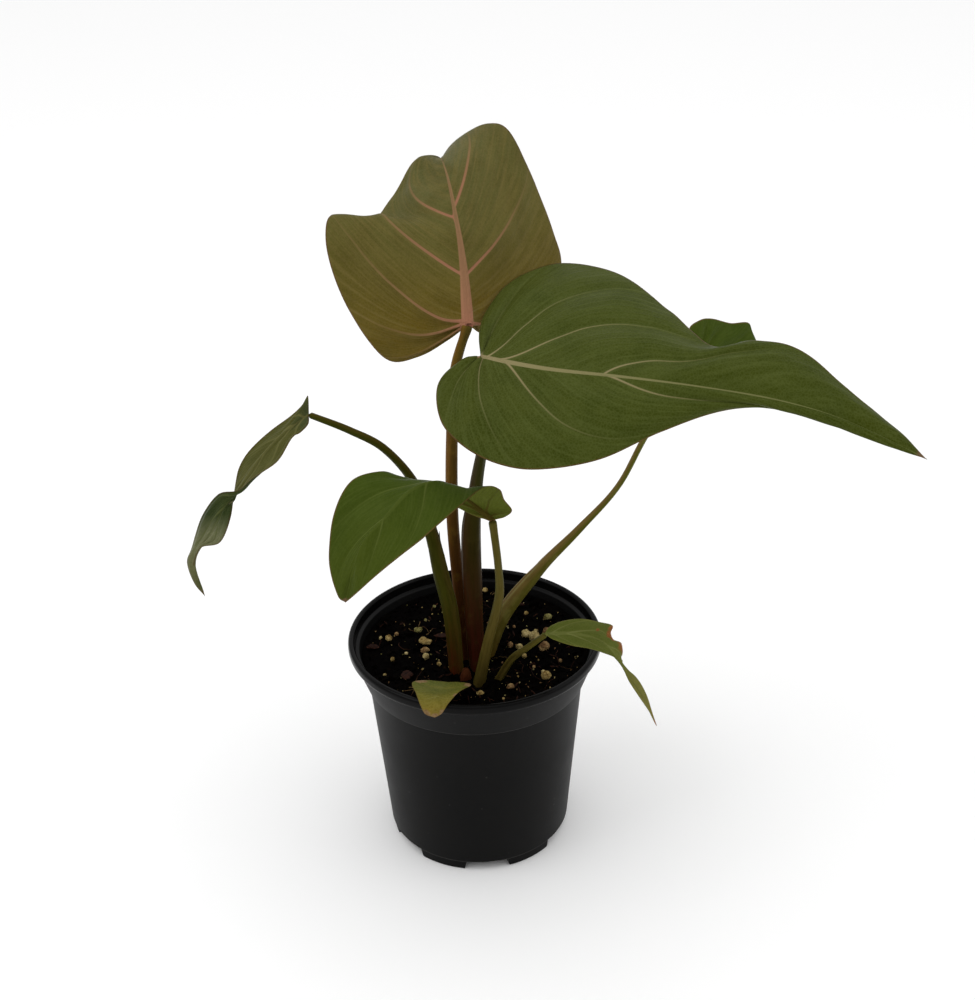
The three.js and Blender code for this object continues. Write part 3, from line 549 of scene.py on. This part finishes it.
stalkLooks = {
    "red": {"stops": [(0.0, "#3e1b10"), (0.25, "#45280f"), (0.6, "#544017"), (1.0, "#4e441a")],
        "dark": "#322308", "pale": "#71591f", "flush": "#845524", "flushShare": 0.35, "lip": "#957f3b",
        "roughness": 0.4},
    "dark": {"stops": [(0.0, "#3b150b"), (0.15, "#30160b"), (0.35, "#2a2208"), (0.6, "#30300d"),
        (1.0, "#41441a")], "dark": "#171303", "pale": "#3a3413", "flush": "#3a140a", "flushShare": 0.35,
        "lip": "#574e33", "roughness": 0.3},
    "green": {"stops": [(0.0, "#421a0a"), (0.1, "#37290a"), (0.2, "#35350b"), (0.6, "#2b2c05"),
        (1.0, "#35380d")], "dark": "#121301", "pale": "#353809", "flush": "#4d3f18", "flushShare": 0.6,
        "lip": "#4f541c", "roughness": 0.36},
    "pale": {"stops": [(0.0, "#54401a"), (0.15, "#50491a"), (0.5, "#505018"), (0.75, "#55561b"),
        (1.0, "#585b22")], "dark": "#3a3510", "pale": "#74703a", "flush": "#8a6a44", "flushShare": 0.5,
        "lip": "#8a8650", "roughness": 0.4},
    "crown": {"stops": [(0.0, "#32150b"), (1.0, "#3d1f10")], "dark": "#201006", "pale": "#4f2c18",
        "flush": "#472213", "flushShare": 0.3, "lip": "#4f2c18", "roughness": 0.36},
    "olive": {"stops": [(0.0, "#383210"), (0.3, "#403e13"), (0.6, "#4b4b1b"), (1.0, "#4c501c")],
        "dark": "#271e04", "pale": "#574b22", "flush": "#574722", "flushShare": 0.5, "lip": "#635825",
        "roughness": 0.36},
}
stalkMaterials = {name: stalkMaterial(name + "Stalk", look) for name, look in stalkLooks.items()}


def tipShape(base, ahead, out, tip):
    # A thin pointed scale: an oval section that swells from its root and then narrows to a point.
    rings, sides = 24, 12
    t, turn = np.meshgrid(np.linspace(0, 1, rings), np.arange(sides) / sides * 2 * np.pi, indexing="ij")
    half = tip["width"] / 2 * (1 - t ** 1.6) ** 0.9
    middle = base + ahead * (t * tip["length"])[..., None] + out * (tip["lean"] * t ** 2)[..., None]
    wide = np.cross(ahead, out)
    return middle + wide * (half * np.cos(turn))[..., None] + out * (half * 0.35 * np.sin(turn))[..., None]


def makeStalk(name, stalk):
    # A round rod along a smooth line. The sheath at its foot is a channel: the rod is pressed in along
    # one side between two raised lips, as far as the sheath's end.
    rings, sides = 180, 40
    start = np.array([*(np.array(stalk["foot"]) * mixRadius), mixLevel - stalkSunk])
    path = np.vstack([start, np.array([*stalk["path"], stalk["end"]], float) + [0, 0, mixLevel]])
    t, turn = np.meshgrid(np.linspace(0, 1, rings), np.arange(sides) / sides * 2 * np.pi, indexing="ij")
    middle = smoothLine(path, t)
    ahead = unit(smoothLine(path, np.clip(t + 0.01, 0, 1)) - smoothLine(path, np.clip(t - 0.01, 0, 1)))
    across = unit(np.cross([0.0, 1.0, 0.0], ahead))
    over = np.cross(ahead, across)
    radius = smoothLine(np.stack([stalk["radius"]] * 3, axis=-1), t)[..., 0]
    groove, lipShare = 0, np.zeros_like(t)
    if "sheath" in stalk:
        end, facing = stalk["sheath"]
        away = np.angle(np.exp(1j * (turn - facing)))
        depth = 1 - ease(end - 0.07, end, t)
        raised = np.exp(-((np.abs(away) - 0.72) / 0.2) ** 2)
        groove = depth * (-0.36 * np.exp(-(away / 0.45) ** 2) + 0.12 * raised)
        lipShare = 0.8 * depth * np.exp(-((np.abs(away) - 0.72) / 0.1) ** 2)
    wobble = 0.03 * np.sin(turn * 3 + 9 * t) + 0.02 * np.sin(turn * 5 - 14 * t)
    ridges = 0.012 * np.sin(turn * 9 + 2 * np.sin(6 * t))
    swelling = stalk.get("swelling", 0) * np.exp(-((t - 0.985) / 0.03) ** 2)
    radius = radius * (1 + groove + wobble + ridges + swelling)
    radius = radius * np.where(t > 0.99, np.sqrt(np.clip(1 - ((t - 0.99) / 0.0101) ** 2, 0, 1)), 1)
    skin = middle + across * (radius * np.cos(turn))[..., None] + over * (radius * np.sin(turn))[..., None]
    length = np.linalg.norm(np.diff(middle[:, 0], axis=0), axis=1).sum()
    rows = [skin.reshape(-1, 3), middle[0, :1], middle[-1, :1]]
    foot, head = rings * sides, rings * sides + 1
    j = np.arange(sides)
    n = (j + 1) % sides
    faces = [*gridFaces(rings, sides, closed=True), *np.stack([np.full(sides, foot), n, j], axis=-1),
             *np.stack([np.full(sides, head), (rings - 1) * sides + j, (rings - 1) * sides + n], axis=-1)]
    side = ease(-0.2, 0.9, np.cos(turn - stalk["flushTurn"]))
    run = np.stack([np.cos(turn) * 2.2, np.sin(turn) * 2.2, t * length / 14], axis=-1).reshape(-1, 3)
    fields = {"along": [*t.ravel(), 0, 1], "side": [*side.ravel(), 0, 0], "lip": [*lipShare.ravel(), 0, 0],
              "skinRun": [*run, run[0], run[-1]]}
    for tip in stalk.get("tips", ()):
        row = int(tip["at"] * (rings - 1))
        out = across[row, 0] * np.cos(tip["turn"]) + over[row, 0] * np.sin(tip["turn"])
        base = middle[row, 0] + out * radius[row, 0] * 0.85
        shape = tipShape(base, ahead[row, 0], out, tip)
        offset = sum(len(r) for r in rows)
        rows.append(shape.reshape(-1, 3))
        grid = gridFaces(shape.shape[0], shape.shape[1], closed=True)
        faces += [*(grid + offset), np.arange(shape.shape[1])[::-1] + offset]
        count = shape.shape[0] * shape.shape[1]
        fields["along"] += [tip["at"]] * count
        fields["side"] += [tip["flush"]] * count
        fields["lip"] += [tip["pale"]] * count
        fields["skinRun"] += [*(shape.reshape(-1, 3) / 6)]
    piece = makePiece(name, np.concatenate(rows), faces, [stalkMaterials[stalk["skin"]]],
                      (stalk["node"],), fields=fields, weld=True)
    print("stalk", name, len(piece.data.polygons), "faces")


# A foot is in shares of the mix's radius; the path goes on in x, y and height above the mix to its end,
# which is the joint with the leaf where there is one.
upperStalk = {
    "node": "stalk_upper", "slot": "stalk_red", "skin": "red", "radius": [2.8, 2.6, 2.6, 2.2, 1.7],
    "foot": (-0.08, -0.16), "flushTurn": 3.1, "swelling": 0.25,
    "path": [[-6, -6, 30], [-8, -4, 68], [-7, -5, 107], [-5, -11, 140]],
    "end": upperLeaf["joint"],
}
broadStalk = {
    "node": "stalk_broad", "slot": "stalk_green", "skin": "dark", "foot": (0.02, -0.3),
    "radius": [3.2, 3.9, 4, 2.7, 1.9, 1.6], "sheath": (0.5, 2.4), "flushTurn": 3.1, "swelling": 0.2,
    "path": [[0, -13, 30], [0, -12, 65], [3, -16, 93], [7, -26, 125]],
    "end": broadLeaf["joint"],
    "tips": [{"at": 0.5, "turn": 2.2, "length": 7, "width": 2.4, "lean": 1.2, "flush": 1, "pale": 0}],
}
rearStalk = {
    "node": "stalk_rear", "slot": "stalk_green", "skin": "pale", "foot": (0.08, -0.12),
    "radius": [3.4, 3.5, 2.2, 1.4, 1.3, 1.3], "sheath": (0.36, 3.0), "flushTurn": 3.1,
    "path": [[13, -1, 18], [30, 8, 36], [48, 18, 50], [66, 28, 66], [80, 38, 88]],
    "end": rearLeaf["joint"],
    "tips": [{"at": 0.34, "turn": 1.6, "length": 5, "width": 2.2, "lean": 0.8, "flush": 0.6, "pale": 0.4}],
}
frontStalk = {
    "node": "stalk_front", "slot": "stalk_green", "skin": "olive", "radius": [2.8, 2.2, 1.9, 1.6, 1.6],
    "foot": (0.02, -0.55), "flushTurn": 4.7, "swelling": 0.06,
    "path": [[6, -36, 27], [11, -41, 51], [11, -44, 67]],
    "end": frontLeaf["joint"],
}
twistedStalk = {
    "node": "stalk_twisted", "slot": "stalk_green", "skin": "green", "foot": (-0.16, -0.36),
    "radius": [3.2, 3.4, 2.9, 1.9, 1.6, 1.3], "sheath": (0.4, 0.5), "flushTurn": 0.2,
    "path": [[-10, -14, 26], [-14, -12, 48], [-17, -12, 67], [-23, -10, 89], [-35, -8, 105],
        [-49, -6, 113]],
    "end": twistedLeaf["joint"],
    "tips": [{"at": 0.385, "turn": 3.6, "length": 8, "width": 3, "lean": 0.8, "flush": 0, "pale": 0.2},
             {"at": 0.39, "turn": 0.2, "length": 6, "width": 2.2, "lean": 1, "flush": 1, "pale": 0.2}],
}
youngStalk = {
    "node": "stalk_young", "slot": "stalk_green", "skin": "olive", "radius": [1.9, 1.6, 1.3, 1.2],
    "foot": (0.18, -0.46), "sheath": (0.45, 4.2), "flushTurn": 4.2,
    "path": [[16, -28, 12], [23, -34, 22]],
    "end": youngLeaf["joint"],
}
crownStump = {
    "node": "crown", "slot": "stalk_red", "skin": "crown", "radius": [2.4, 2.6, 2.3, 1.2],
    "foot": (-0.08, -0.485), "flushTurn": 4.7,
    "path": [[-4.1, -24.3, -0.8], [-4.1, -24, 1.8]],
    "end": [-4.1, -23.6, 4.6],
}
stalks = {"upperStalk": upperStalk, "broadStalk": broadStalk, "rearStalk": rearStalk,
          "frontStalk": frontStalk, "twistedStalk": twistedStalk, "youngStalk": youngStalk,
          "crownStump": crownStump}
for stalkName, stalk in stalks.items():
    makeStalk(stalkName, stalk)


potSize = {"footHeight": 4.8, "wall": 1.6, "overhang": 1.7, "flare": 6.6, "taper": 7, "lip": 5, "collar": 15,
           "feet": 6, "opening": 28, "turn": 4.5, "pad": 10, "ledge": 1.6}


def potProfile():
    # outline of the wall from the middle underneath, round the rim, to the middle of the floor inside
    s = potSize
    foot, wall, edge = s["footHeight"], s["wall"], rimRadius
    lip = rimTop - s["lip"]
    step = lip - s["collar"]
    collarTop = edge - s["overhang"]
    bodyTop = collarTop - s["flare"]
    bodyFoot = bodyTop - s["taper"]
    slope = lambda z: np.interp(z, [foot, step], [bodyFoot, bodyTop])
    corner = [[0, 0], [s["pad"], 0], [s["pad"] + 1, foot], [bodyFoot - 5.8, foot], [bodyFoot - 4.2, 0],
              [bodyFoot - 1.4, 0], [bodyFoot - 1, 0.4], [bodyFoot - 0.7, foot - 0.2],
              [bodyFoot - 0.2, foot + 0.1], [bodyFoot + 0.1, foot + 0.5], [slope(30), 30], [slope(55), 55],
              [bodyTop, step - 0.3], [bodyTop + 1, step], [bodyTop + 1.4, step + 0.3],
              [collarTop - 0.1, lip - 0.6], [collarTop + 0.1, lip - 0.1], [edge - 1.2, lip],
              [edge - 0.3, lip + 0.5], [edge, lip + 1.4], [edge, rimTop - 1.4], [edge - 0.4, rimTop - 0.5],
              [edge - 1.3, rimTop], [edge - 2, rimTop - 0.1], [edge - 2.7, rimTop - 0.9],
              [edge - 3.2, rimTop - 4.6], [edge - 3.3 - s["ledge"], rimTop - 5.1],
              [bodyTop - 0.2, step + 1], [bodyTop - wall, step - 1],
              [slope(foot + wall + 3) - wall, foot + wall + 3],
              [slope(foot + wall) - wall - 3, foot + wall], [0, foot + wall]]
    return np.array(corner, float)


def roundedProfile(corner, reach=0.35):
    # each corner gives way to a short curve that leaves one straight run and joins the next
    out = [corner[0]]
    for a, b, c in zip(corner[:-2], corner[1:-1], corner[2:]):
        before, after = np.linalg.norm(b - a), np.linalg.norm(c - b)
        cut = min(reach, before * 0.45, after * 0.45)
        p, q = b + (a - b) / before * cut, b + (c - b) / after * cut
        s = np.linspace(0, 1, 5)[:, None]
        out.extend((1 - s) ** 2 * p + 2 * s * (1 - s) * b + s ** 2 * q)
    out.append(corner[-1])
    return np.array(out)


def makePot():
    # The outline turned about the pot's axis. Round the foot the ring is lifted away at the openings.
    profile = roundedProfile(potProfile())
    around = 480
    r, turn = np.meshgrid(profile[:, 0], np.arange(around) / around * 2 * np.pi, indexing="ij")
    z = np.repeat(profile[:, 1:2], around, axis=1)
    period = 360 / potSize["feet"]
    away = np.abs((np.degrees(turn) + 90 - potSize["turn"] + period / 2) % period - period / 2)
    openShare = 1 - ease(potSize["opening"] / 2 - 0.8, potSize["opening"] / 2 + 0.8, away)
    top = potSize["footHeight"] - 0.04
    ring = (r > potSize["pad"] + 3) & (z < top)
    z = np.where(ring, z + (top - z) * openShare, z)
    points = np.stack([r * np.cos(turn), r * np.sin(turn), z], axis=-1)
    faces = gridFaces(*r.shape, closed=True)[:, ::-1]
    makePiece("nurseryPot", points.reshape(-1, 3), faces, [potMaterial()], ("pot",), weld=True)


def potMaterial():
    # Injection-moulded polypropylene, black all through: a satin skin with fine moulding pores, glossier
    # on the rolled rim, with faint upright flow marks, a little dust and dried water on the body, and a
    # thin painted highlight, a paler line, along the collar's step and the foot.
    material, tree, shader = newMaterial("mouldedPolypropylene", IOR=1.49, Specular_IOR_Level=0.08)
    where = objectPlace(tree)
    height = addNode(tree, "ShaderNodeSeparateXYZ", {0: where}, out="Z")
    dust = noise(tree, where, 60.0, 7.0, 0.65)
    drawn = addNode(tree, "ShaderNodeMapping", {"Vector": where, "Scale": (1, 1, 0.08)})
    flow = noise(tree, drawn, 110.0, 4.0)
    pores = noise(tree, where, 1500.0)
    spots = band(tree, addNode(tree, "ShaderNodeTexVoronoi", {"Vector": where, "Scale": 260.0}), 0.16, 0.08)
    spots = calc(tree, "MULTIPLY", spots, band(tree, noise(tree, where, 90.0), 0.58, 0.7))
    tone = ramp(tree, dust, [(0.3, "#050505"), (0.75, "#0a0908")])
    tone = blend(tree, calc(tree, "MULTIPLY", spots, 0.35), tone, "#4a4844")
    # painted highlight: a thin paler line along the collar's step and the foot's edge, where the edges catch
    # the light
    for edge in (rimTop - potSize["lip"] - potSize["collar"] + 0.2, potSize["footHeight"] + 0.3):
        away = calc(tree, "ABSOLUTE", calc(tree, "SUBTRACT", height, edge * mm))
        tone = blend(tree, band(tree, away, 0.0006, 0.0002, 0.6), tone, "#3a3936")
    rough = band(tree, height, (rimTop - 5.4) * mm, (rimTop - 4.8) * mm, 0.16, 0.4)
    tree.links.new(calc(tree, "MULTIPLY_ADD", dust, 0.14, rough), shader.inputs["Roughness"])
    finish(tree, shader, tone, calc(tree, "MULTIPLY_ADD", pores, 0.5, flow), 0.14)
    return material


makePot()
print("pot made")


def mixHeight(x, y):
    # lumps of three sizes, fading at the wall
    flat = np.stack([x, y, np.zeros_like(x)], axis=-1)
    lumps = 0.7 * np.sin(x / 6.1 + 1.3) * np.cos(y / 5.3) + 0.35 * np.sin(x / 2.9 - y / 3.3)
    crumbs = (0.7 * latticeNoise(flat, 3.1, 7) + 0.5 * np.abs(latticeNoise(flat, 1.5, 8))
              + 0.35 * latticeNoise(flat, 0.8, 9))
    fade = 1 - (np.hypot(x, y) / mixRadius) ** 4 * 0.5
    return mixLevel + fade * (lumps * 0.8 + crumbs) - 0.3


def mixMaterial(name="dampPottingMix"):
    # Damp peat and bark: nearly black crumbs with a little brown fibre showing, rough all over.
    material, tree, shader = newMaterial(name, Roughness=0.9, IOR=1.35, Specular_IOR_Level=0.03)
    where = objectPlace(tree)
    crumb = addNode(tree, "ShaderNodeTexVoronoi", {"Vector": where, "Scale": 620.0}, out="Color")
    hue = addNode(tree, "ShaderNodeSeparateXYZ", {0: crumb}, out="X")
    mixed = calc(tree, "MULTIPLY", hue, noise(tree, where, 160.0, 5.0))
    tone = ramp(tree, mixed, [(0.1, "#020101"), (0.4, "#040302"), (0.55, "#090503"), (0.68, "#1a0f08")])
    finish(tree, shader, tone, noise(tree, where, 900.0, 5.0), 0.8, 0.0008)
    return material


def perliteMaterial(name, look):
    # Expanded mineral stained dull cream by peat water; its pits are coloured darker brown.
    material, tree, shader = newMaterial(name, Roughness=0.9, IOR=1.45, Specular_IOR_Level=0.1)
    where = objectPlace(tree)
    cells = addNode(tree, "ShaderNodeTexVoronoi", {"Vector": where, "Scale": 1500.0})
    tone = ramp(tree, noise(tree, where, 420.0, 4.0), look["stops"])
    tone = blend(tree, band(tree, cells, 0.45, 0.15, 0.7), tone, look["pit"])
    finish(tree, shader, tone, cells, 0.7, 0.0005)
    return material


perliteLooks = {
    "creamPerlite": {"stops": [(0.35, "#6a532a"), (0.5, "#947e4d"), (0.68, "#b49f6a")], "pit": "#3e2d15"},
    "whitePerlite": {"stops": [(0.35, "#7c6b45"), (0.5, "#a49260"), (0.7, "#c2b180")], "pit": "#544427"},
    "brownedPerlite": {"stops": [(0.35, "#543b22"), (0.5, "#7a5e3e"), (0.68, "#998056")], "pit": "#352314"},
    "greenedPerlite": {"stops": [(0.35, "#544c26"), (0.5, "#767040"), (0.68, "#958c60")], "pit": "#322a14"},
}
perliteMaterials = {name: perliteMaterial(name, look) for name, look in perliteLooks.items()}


def barkMaterial():
    # Dry inner bark: red-brown with darker fibres along the grain.
    material, tree, shader = newMaterial("redBark", Roughness=0.8, Specular_IOR_Level=0.08)
    fibre = noise(tree, objectPlace(tree), 700.0, 5.0, distortion=1.5)
    tone = ramp(tree, fibre, [(0.35, "#120805"), (0.55, "#28130b"), (0.7, "#3c2114")])
    finish(tree, shader, tone, fibre, 0.7)
    return material


def fibreMaterial():
    # Dead roots and peat threads: straw and red-brown, each its own shade.
    material, tree, shader = newMaterial("rootFibre", Roughness=0.75, Specular_IOR_Level=0.08)
    patch = noise(tree, objectPlace(tree), 120.0)
    finish(tree, shader, ramp(tree, patch, [(0.35, "#1c0d07"), (0.52, "#3a2114"), (0.68, "#6a5636")]))
    return material


# radius and height of the mix below its top edge: down the wall and along the floor to the middle
mixSide = ((mixRadius - 0.1, mixLevel - 3), (46.6, rimTop - 21), (40.2, 9.7), (36.8, 6.7), (0, 6.7))


def makeMix():
    # Rings of points from the middle to the wall at the mix's height, then down the wall to the floor.
    rings, around = 170, 360
    share = np.sqrt(np.linspace(0, 1, rings)) * 0.4 + np.linspace(0, 1, rings) * 0.6
    r, turn = np.meshgrid(share * mixRadius, np.arange(around) / around * 2 * np.pi, indexing="ij")
    x, y = r * np.cos(turn), r * np.sin(turn)
    top = np.stack([x, y, mixHeight(x, y)], axis=-1)
    lower = []
    for radius, z in mixSide:
        ring = np.stack([radius * np.cos(turn[0]), radius * np.sin(turn[0]), np.full(around, z)], axis=-1)
        lower.append(ring[None])
    points = np.concatenate([top, *lower])
    faces = gridFaces(len(points), around, closed=True)
    makePiece("pottingMix", points.reshape(-1, 3), faces, [mixMaterial()], ("soil",),
              weld=True)


def ballShape(level):
    # points and triangles of an even ball one unit across
    form = bmesh.new()
    bmesh.ops.create_icosphere(form, subdivisions=level, radius=0.5)
    points = np.array([v.co[:] for v in form.verts])
    faces = np.array([[v.index for v in f.verts] for f in form.faces])
    form.free()
    return points, faces


fineBall, roughBall = ballShape(5), ballShape(2)


def lumpy(points, seed, lump=0.5, pit=0.16):
    # a ball pushed in and out by broad lumps, with small round pits sunk into it
    place = points + seed * 3.7
    swell = 1 + 0.32 * latticeNoise(place, lump, seed) + 0.14 * latticeNoise(place, 0.24, seed + 1)
    pits = np.clip(latticeNoise(place, pit, seed + 2) - 0.15, 0, 1)
    return points * (swell - 0.3 * pits)[:, None]


def makePerlite():
    # one lumpy grain in place of each perlite node of the plan, filling the same box
    skins = ["cream", "cream", "greened", "browned", "cream", "cream", "browned", "cream", "browned", "white",
             "browned", "greened"]
    for number, skin in enumerate(skins, 1):
        node = f"perlite_{number:02d}"
        makePiece(f"perliteGrain{number:02d}", fitToNode(lumpy(fineBall[0], number), node), fineBall[1],
                  [perliteMaterials[skin + "Perlite"]], (node,))


def makeBark():
    # a flat sliver with a coarse torn outline in place of each bark node of the plan
    skin = barkMaterial()
    for number in range(1, 5):
        node = f"bark_{number:02d}"
        points = lumpy(fineBall[0], number + 40, lump=0.35, pit=0.3)
        makePiece(f"barkSliver{number}", fitToNode(points, node), fineBall[1], [skin], (node,))
    return skin


def randomTurns(random, count):
    # even random rotations: a random unit quaternion for each, as a matrix
    w, x, y, z = unit(random.normal(size=(count, 4))).T
    cells = [1 - 2 * (y * y + z * z), 2 * (x * y - z * w), 2 * (x * z + y * w),
             2 * (x * y + z * w), 1 - 2 * (x * x + z * z), 2 * (y * z - x * w),
             2 * (x * z - y * w), 2 * (y * z + x * w), 1 - 2 * (x * x + y * y)]
    return np.stack(cells, axis=-1).reshape(-1, 3, 3)


def scatter(name, ball, places, sizes, seed, materials, sunk=0.25, skins=None):
    # Copies of the ball, each squashed, turned and lumped its own way, lying partly sunk in the mix.
    random = np.random.default_rng(seed)
    points, faces = ball
    count = len(places)
    lumps = 1 + random.uniform(-0.22, 0.22, (count, len(points), 1)) * (0.5 if len(points) > 100 else 1)
    local = points[None] * lumps * np.asarray(sizes)[:, None, :]
    turned = np.einsum("nij,npj->npi", randomTurns(random, count), local)
    height = turned[..., 2].max(axis=1) - turned[..., 2].min(axis=1)
    x, y = np.asarray(places).T
    z = mixHeight(x, y) + height * (0.5 - sunk)
    turned += np.stack([x, y, z], axis=-1)[:, None]
    every = faces[None] + (np.arange(count) * len(points))[:, None, None]
    choice = random.integers(0, len(materials), count) if skins is None else np.array(skins)
    makePiece(name, turned.reshape(-1, 3), every.reshape(-1, 3), materials,
              faceMaterial=np.repeat(choice, len(faces)))


def discPlaces(random, count, reach=49.3):
    # even random places on the mix, clear of the stalks' feet
    radius = reach * np.sqrt(random.uniform(0, 1, count))
    turn = random.uniform(0, 2 * np.pi, count)
    places = np.stack([radius * np.cos(turn), radius * np.sin(turn)], axis=-1)
    feet = np.array([stalk["foot"] for stalk in stalks.values()]) * mixRadius
    clear = np.linalg.norm(places[:, None] - feet[None], axis=-1).min(axis=1) > 4.5
    return places[clear]


def makeLitter(barkSkin):
    # Hundreds of crumbs and chips of the mix, and specks and smaller grains of perlite.
    random = np.random.default_rng(21)
    perliteSkins = list(perliteMaterials.values())
    places = discPlaces(random, 900)
    sizes = random.lognormal(0.15, 0.4, (len(places), 1))
    sizes = sizes * random.uniform([0.7, 0.5, 0.3], [1.6, 1, 0.7], (len(places), 3))
    scatter("mixCrumbs", roughBall, places, sizes, 22, [mixMaterial("darkCrumb"), mixMaterial("dampCrumb")])
    places = discPlaces(random, 70)
    sizes = random.uniform([2, 0.5, 0.25], [5, 1.1, 0.5], (len(places), 3))
    scatter("barkChips", roughBall, places, sizes, 23, [barkSkin], sunk=0.1)
    places = discPlaces(random, 190)
    sizes = random.uniform(0.35, 0.9, (len(places), 1)) * random.uniform(0.6, 1.2, (len(places), 3))
    scatter("perliteSpecks", roughBall, places, sizes, 24, perliteSkins, sunk=0.1)
    # x, y and size of the smaller grains
    grains = [[20, -2, 3.4], [27, 5, 4.4], [16, 0, 2.8], [22, -8, 2.5], [28, 10, 2.2], [-22, -9, 3],
              [-37, -9, 1.9], [-43, 9, 1.9], [-36, 12, 2.3], [-16, -14, 2.2], [30, -21, 2.1],
              [26, -18, 1.7], [24, 27, 2], [-19, 34, 1.4], [-15, 31, 1.4], [10, 31, 1.4], [-31, -5, 1.6],
              [38, -12, 1.8], [-10, 18, 1.5], [40, 2, 1.7], [-23, 24, 1.9], [12, -40, 1.5], [-40, -20, 1.6],
              [18, 14, 1.7], [-6, 40, 1.8]]
    grains = np.array(grains)
    sizes = grains[:, 2:] * random.uniform(0.75, 1.15, (len(grains), 3))
    skins = [3 if i in (13, 14, 15, 20) else 1 if i in (0, 5) else i % 3 for i in range(len(grains))]
    scatter("smallPerlite", ballShape(3), grains[:, :2], sizes, 25, perliteSkins, 0.2, skins)


def makeFibres():
    # Root fibres and peat threads: thin rods that wander over the mix, joined into one piece.
    random = np.random.default_rng(31)
    places = discPlaces(random, 48, 46)
    count, rings, sides = len(places), 14, 5
    t = np.linspace(0, 1, rings)
    heading = random.uniform(0, 2 * np.pi, count)[:, None]
    heading = heading + np.cumsum(random.normal(0, 0.22, (count, rings)), axis=1)
    step = random.uniform(3, 13, (count, 1)) / rings
    x = places[:, :1] + np.cumsum(np.cos(heading) * step, axis=1)
    y = places[:, 1:] + np.cumsum(np.sin(heading) * step, axis=1)
    shrink = np.minimum(1, 47 / np.hypot(x, y))
    x, y = x * shrink, y * shrink
    z = mixHeight(x, y) + 0.25 + random.uniform(0, 0.8, (count, 1)) * np.sin(np.pi * t)
    middle = np.stack([x, y, z], axis=-1)[:, :, None]
    turn = np.arange(sides) / sides * 2 * np.pi
    across = np.stack([-np.sin(heading), np.cos(heading), np.zeros_like(heading)], axis=-1)[:, :, None]
    up = np.array([0.0, 0.0, 1.0])
    radius = (random.uniform(0.1, 0.26, (count, 1)) * (1 - 0.7 * t))[..., None, None]
    ring = middle + radius * (across * np.cos(turn)[:, None] + up * np.sin(turn)[:, None])
    grid = gridFaces(rings, sides, closed=True)
    ends = np.array([np.arange(sides)[::-1], (rings - 1) * sides + np.arange(sides)])
    faces = []
    for k in range(count):
        faces += [*(grid + k * rings * sides), *(ends + k * rings * sides)]
    makePiece("rootFibres", ring.reshape(-1, 3), faces, [fibreMaterial()])


makeMix()
makePerlite()
makeLitter(makeBark())
makeFibres()
print("mix, perlite, bark and fibres made")


floorMaterial, _, floorShader = newMaterial("paperFloor", Roughness=0.9)
floorShader.inputs["Base Color"].default_value = hexColor("#fdfdfd")
floorMesh = bpy.data.meshes.new("floor")
floorMesh.from_pydata([(-3, -3, 0), (3, -3, 0), (3, 3, 0), (-3, 3, 0)], [], [(0, 1, 2, 3)])
floorMesh.materials.append(floorMaterial)
floor = bpy.data.objects.new("floor", floorMesh)
bpy.context.scene.collection.objects.link(floor)

world = bpy.data.worlds.new("studio")
bpy.context.scene.world = world
world.use_nodes = True
sky = world.node_tree.nodes["Background"]
sky.inputs["Color"].default_value = (1, 1, 1, 1)
sky.inputs["Strength"].default_value = 0.6


def addSoftbox(name, place, target, size, power):
    # a square area lamp that faces the target
    lamp = bpy.data.lights.new(name, "AREA")
    lamp.size = size
    lamp.energy = power
    box = bpy.data.objects.new(name, lamp)
    place = Vector(place)
    facing = (Vector(target) - place).to_track_quat("-Z", "Y")
    box.matrix_world = Matrix.Translation(place) @ facing.to_matrix().to_4x4()
    bpy.context.scene.collection.objects.link(box)


addSoftbox("ceilingSoftbox", (0, 0.6, 3), (0, 0.6, 0), 8, 115)
addSoftbox("leftSoftbox", (-0.9, -0.3, 1.1), (0, 0, 0.2), 0.8, 3)
addSoftbox("rightSoftbox", (1.1, -0.1, 0.7), (0, 0, 0.15), 0.8, 1.5)
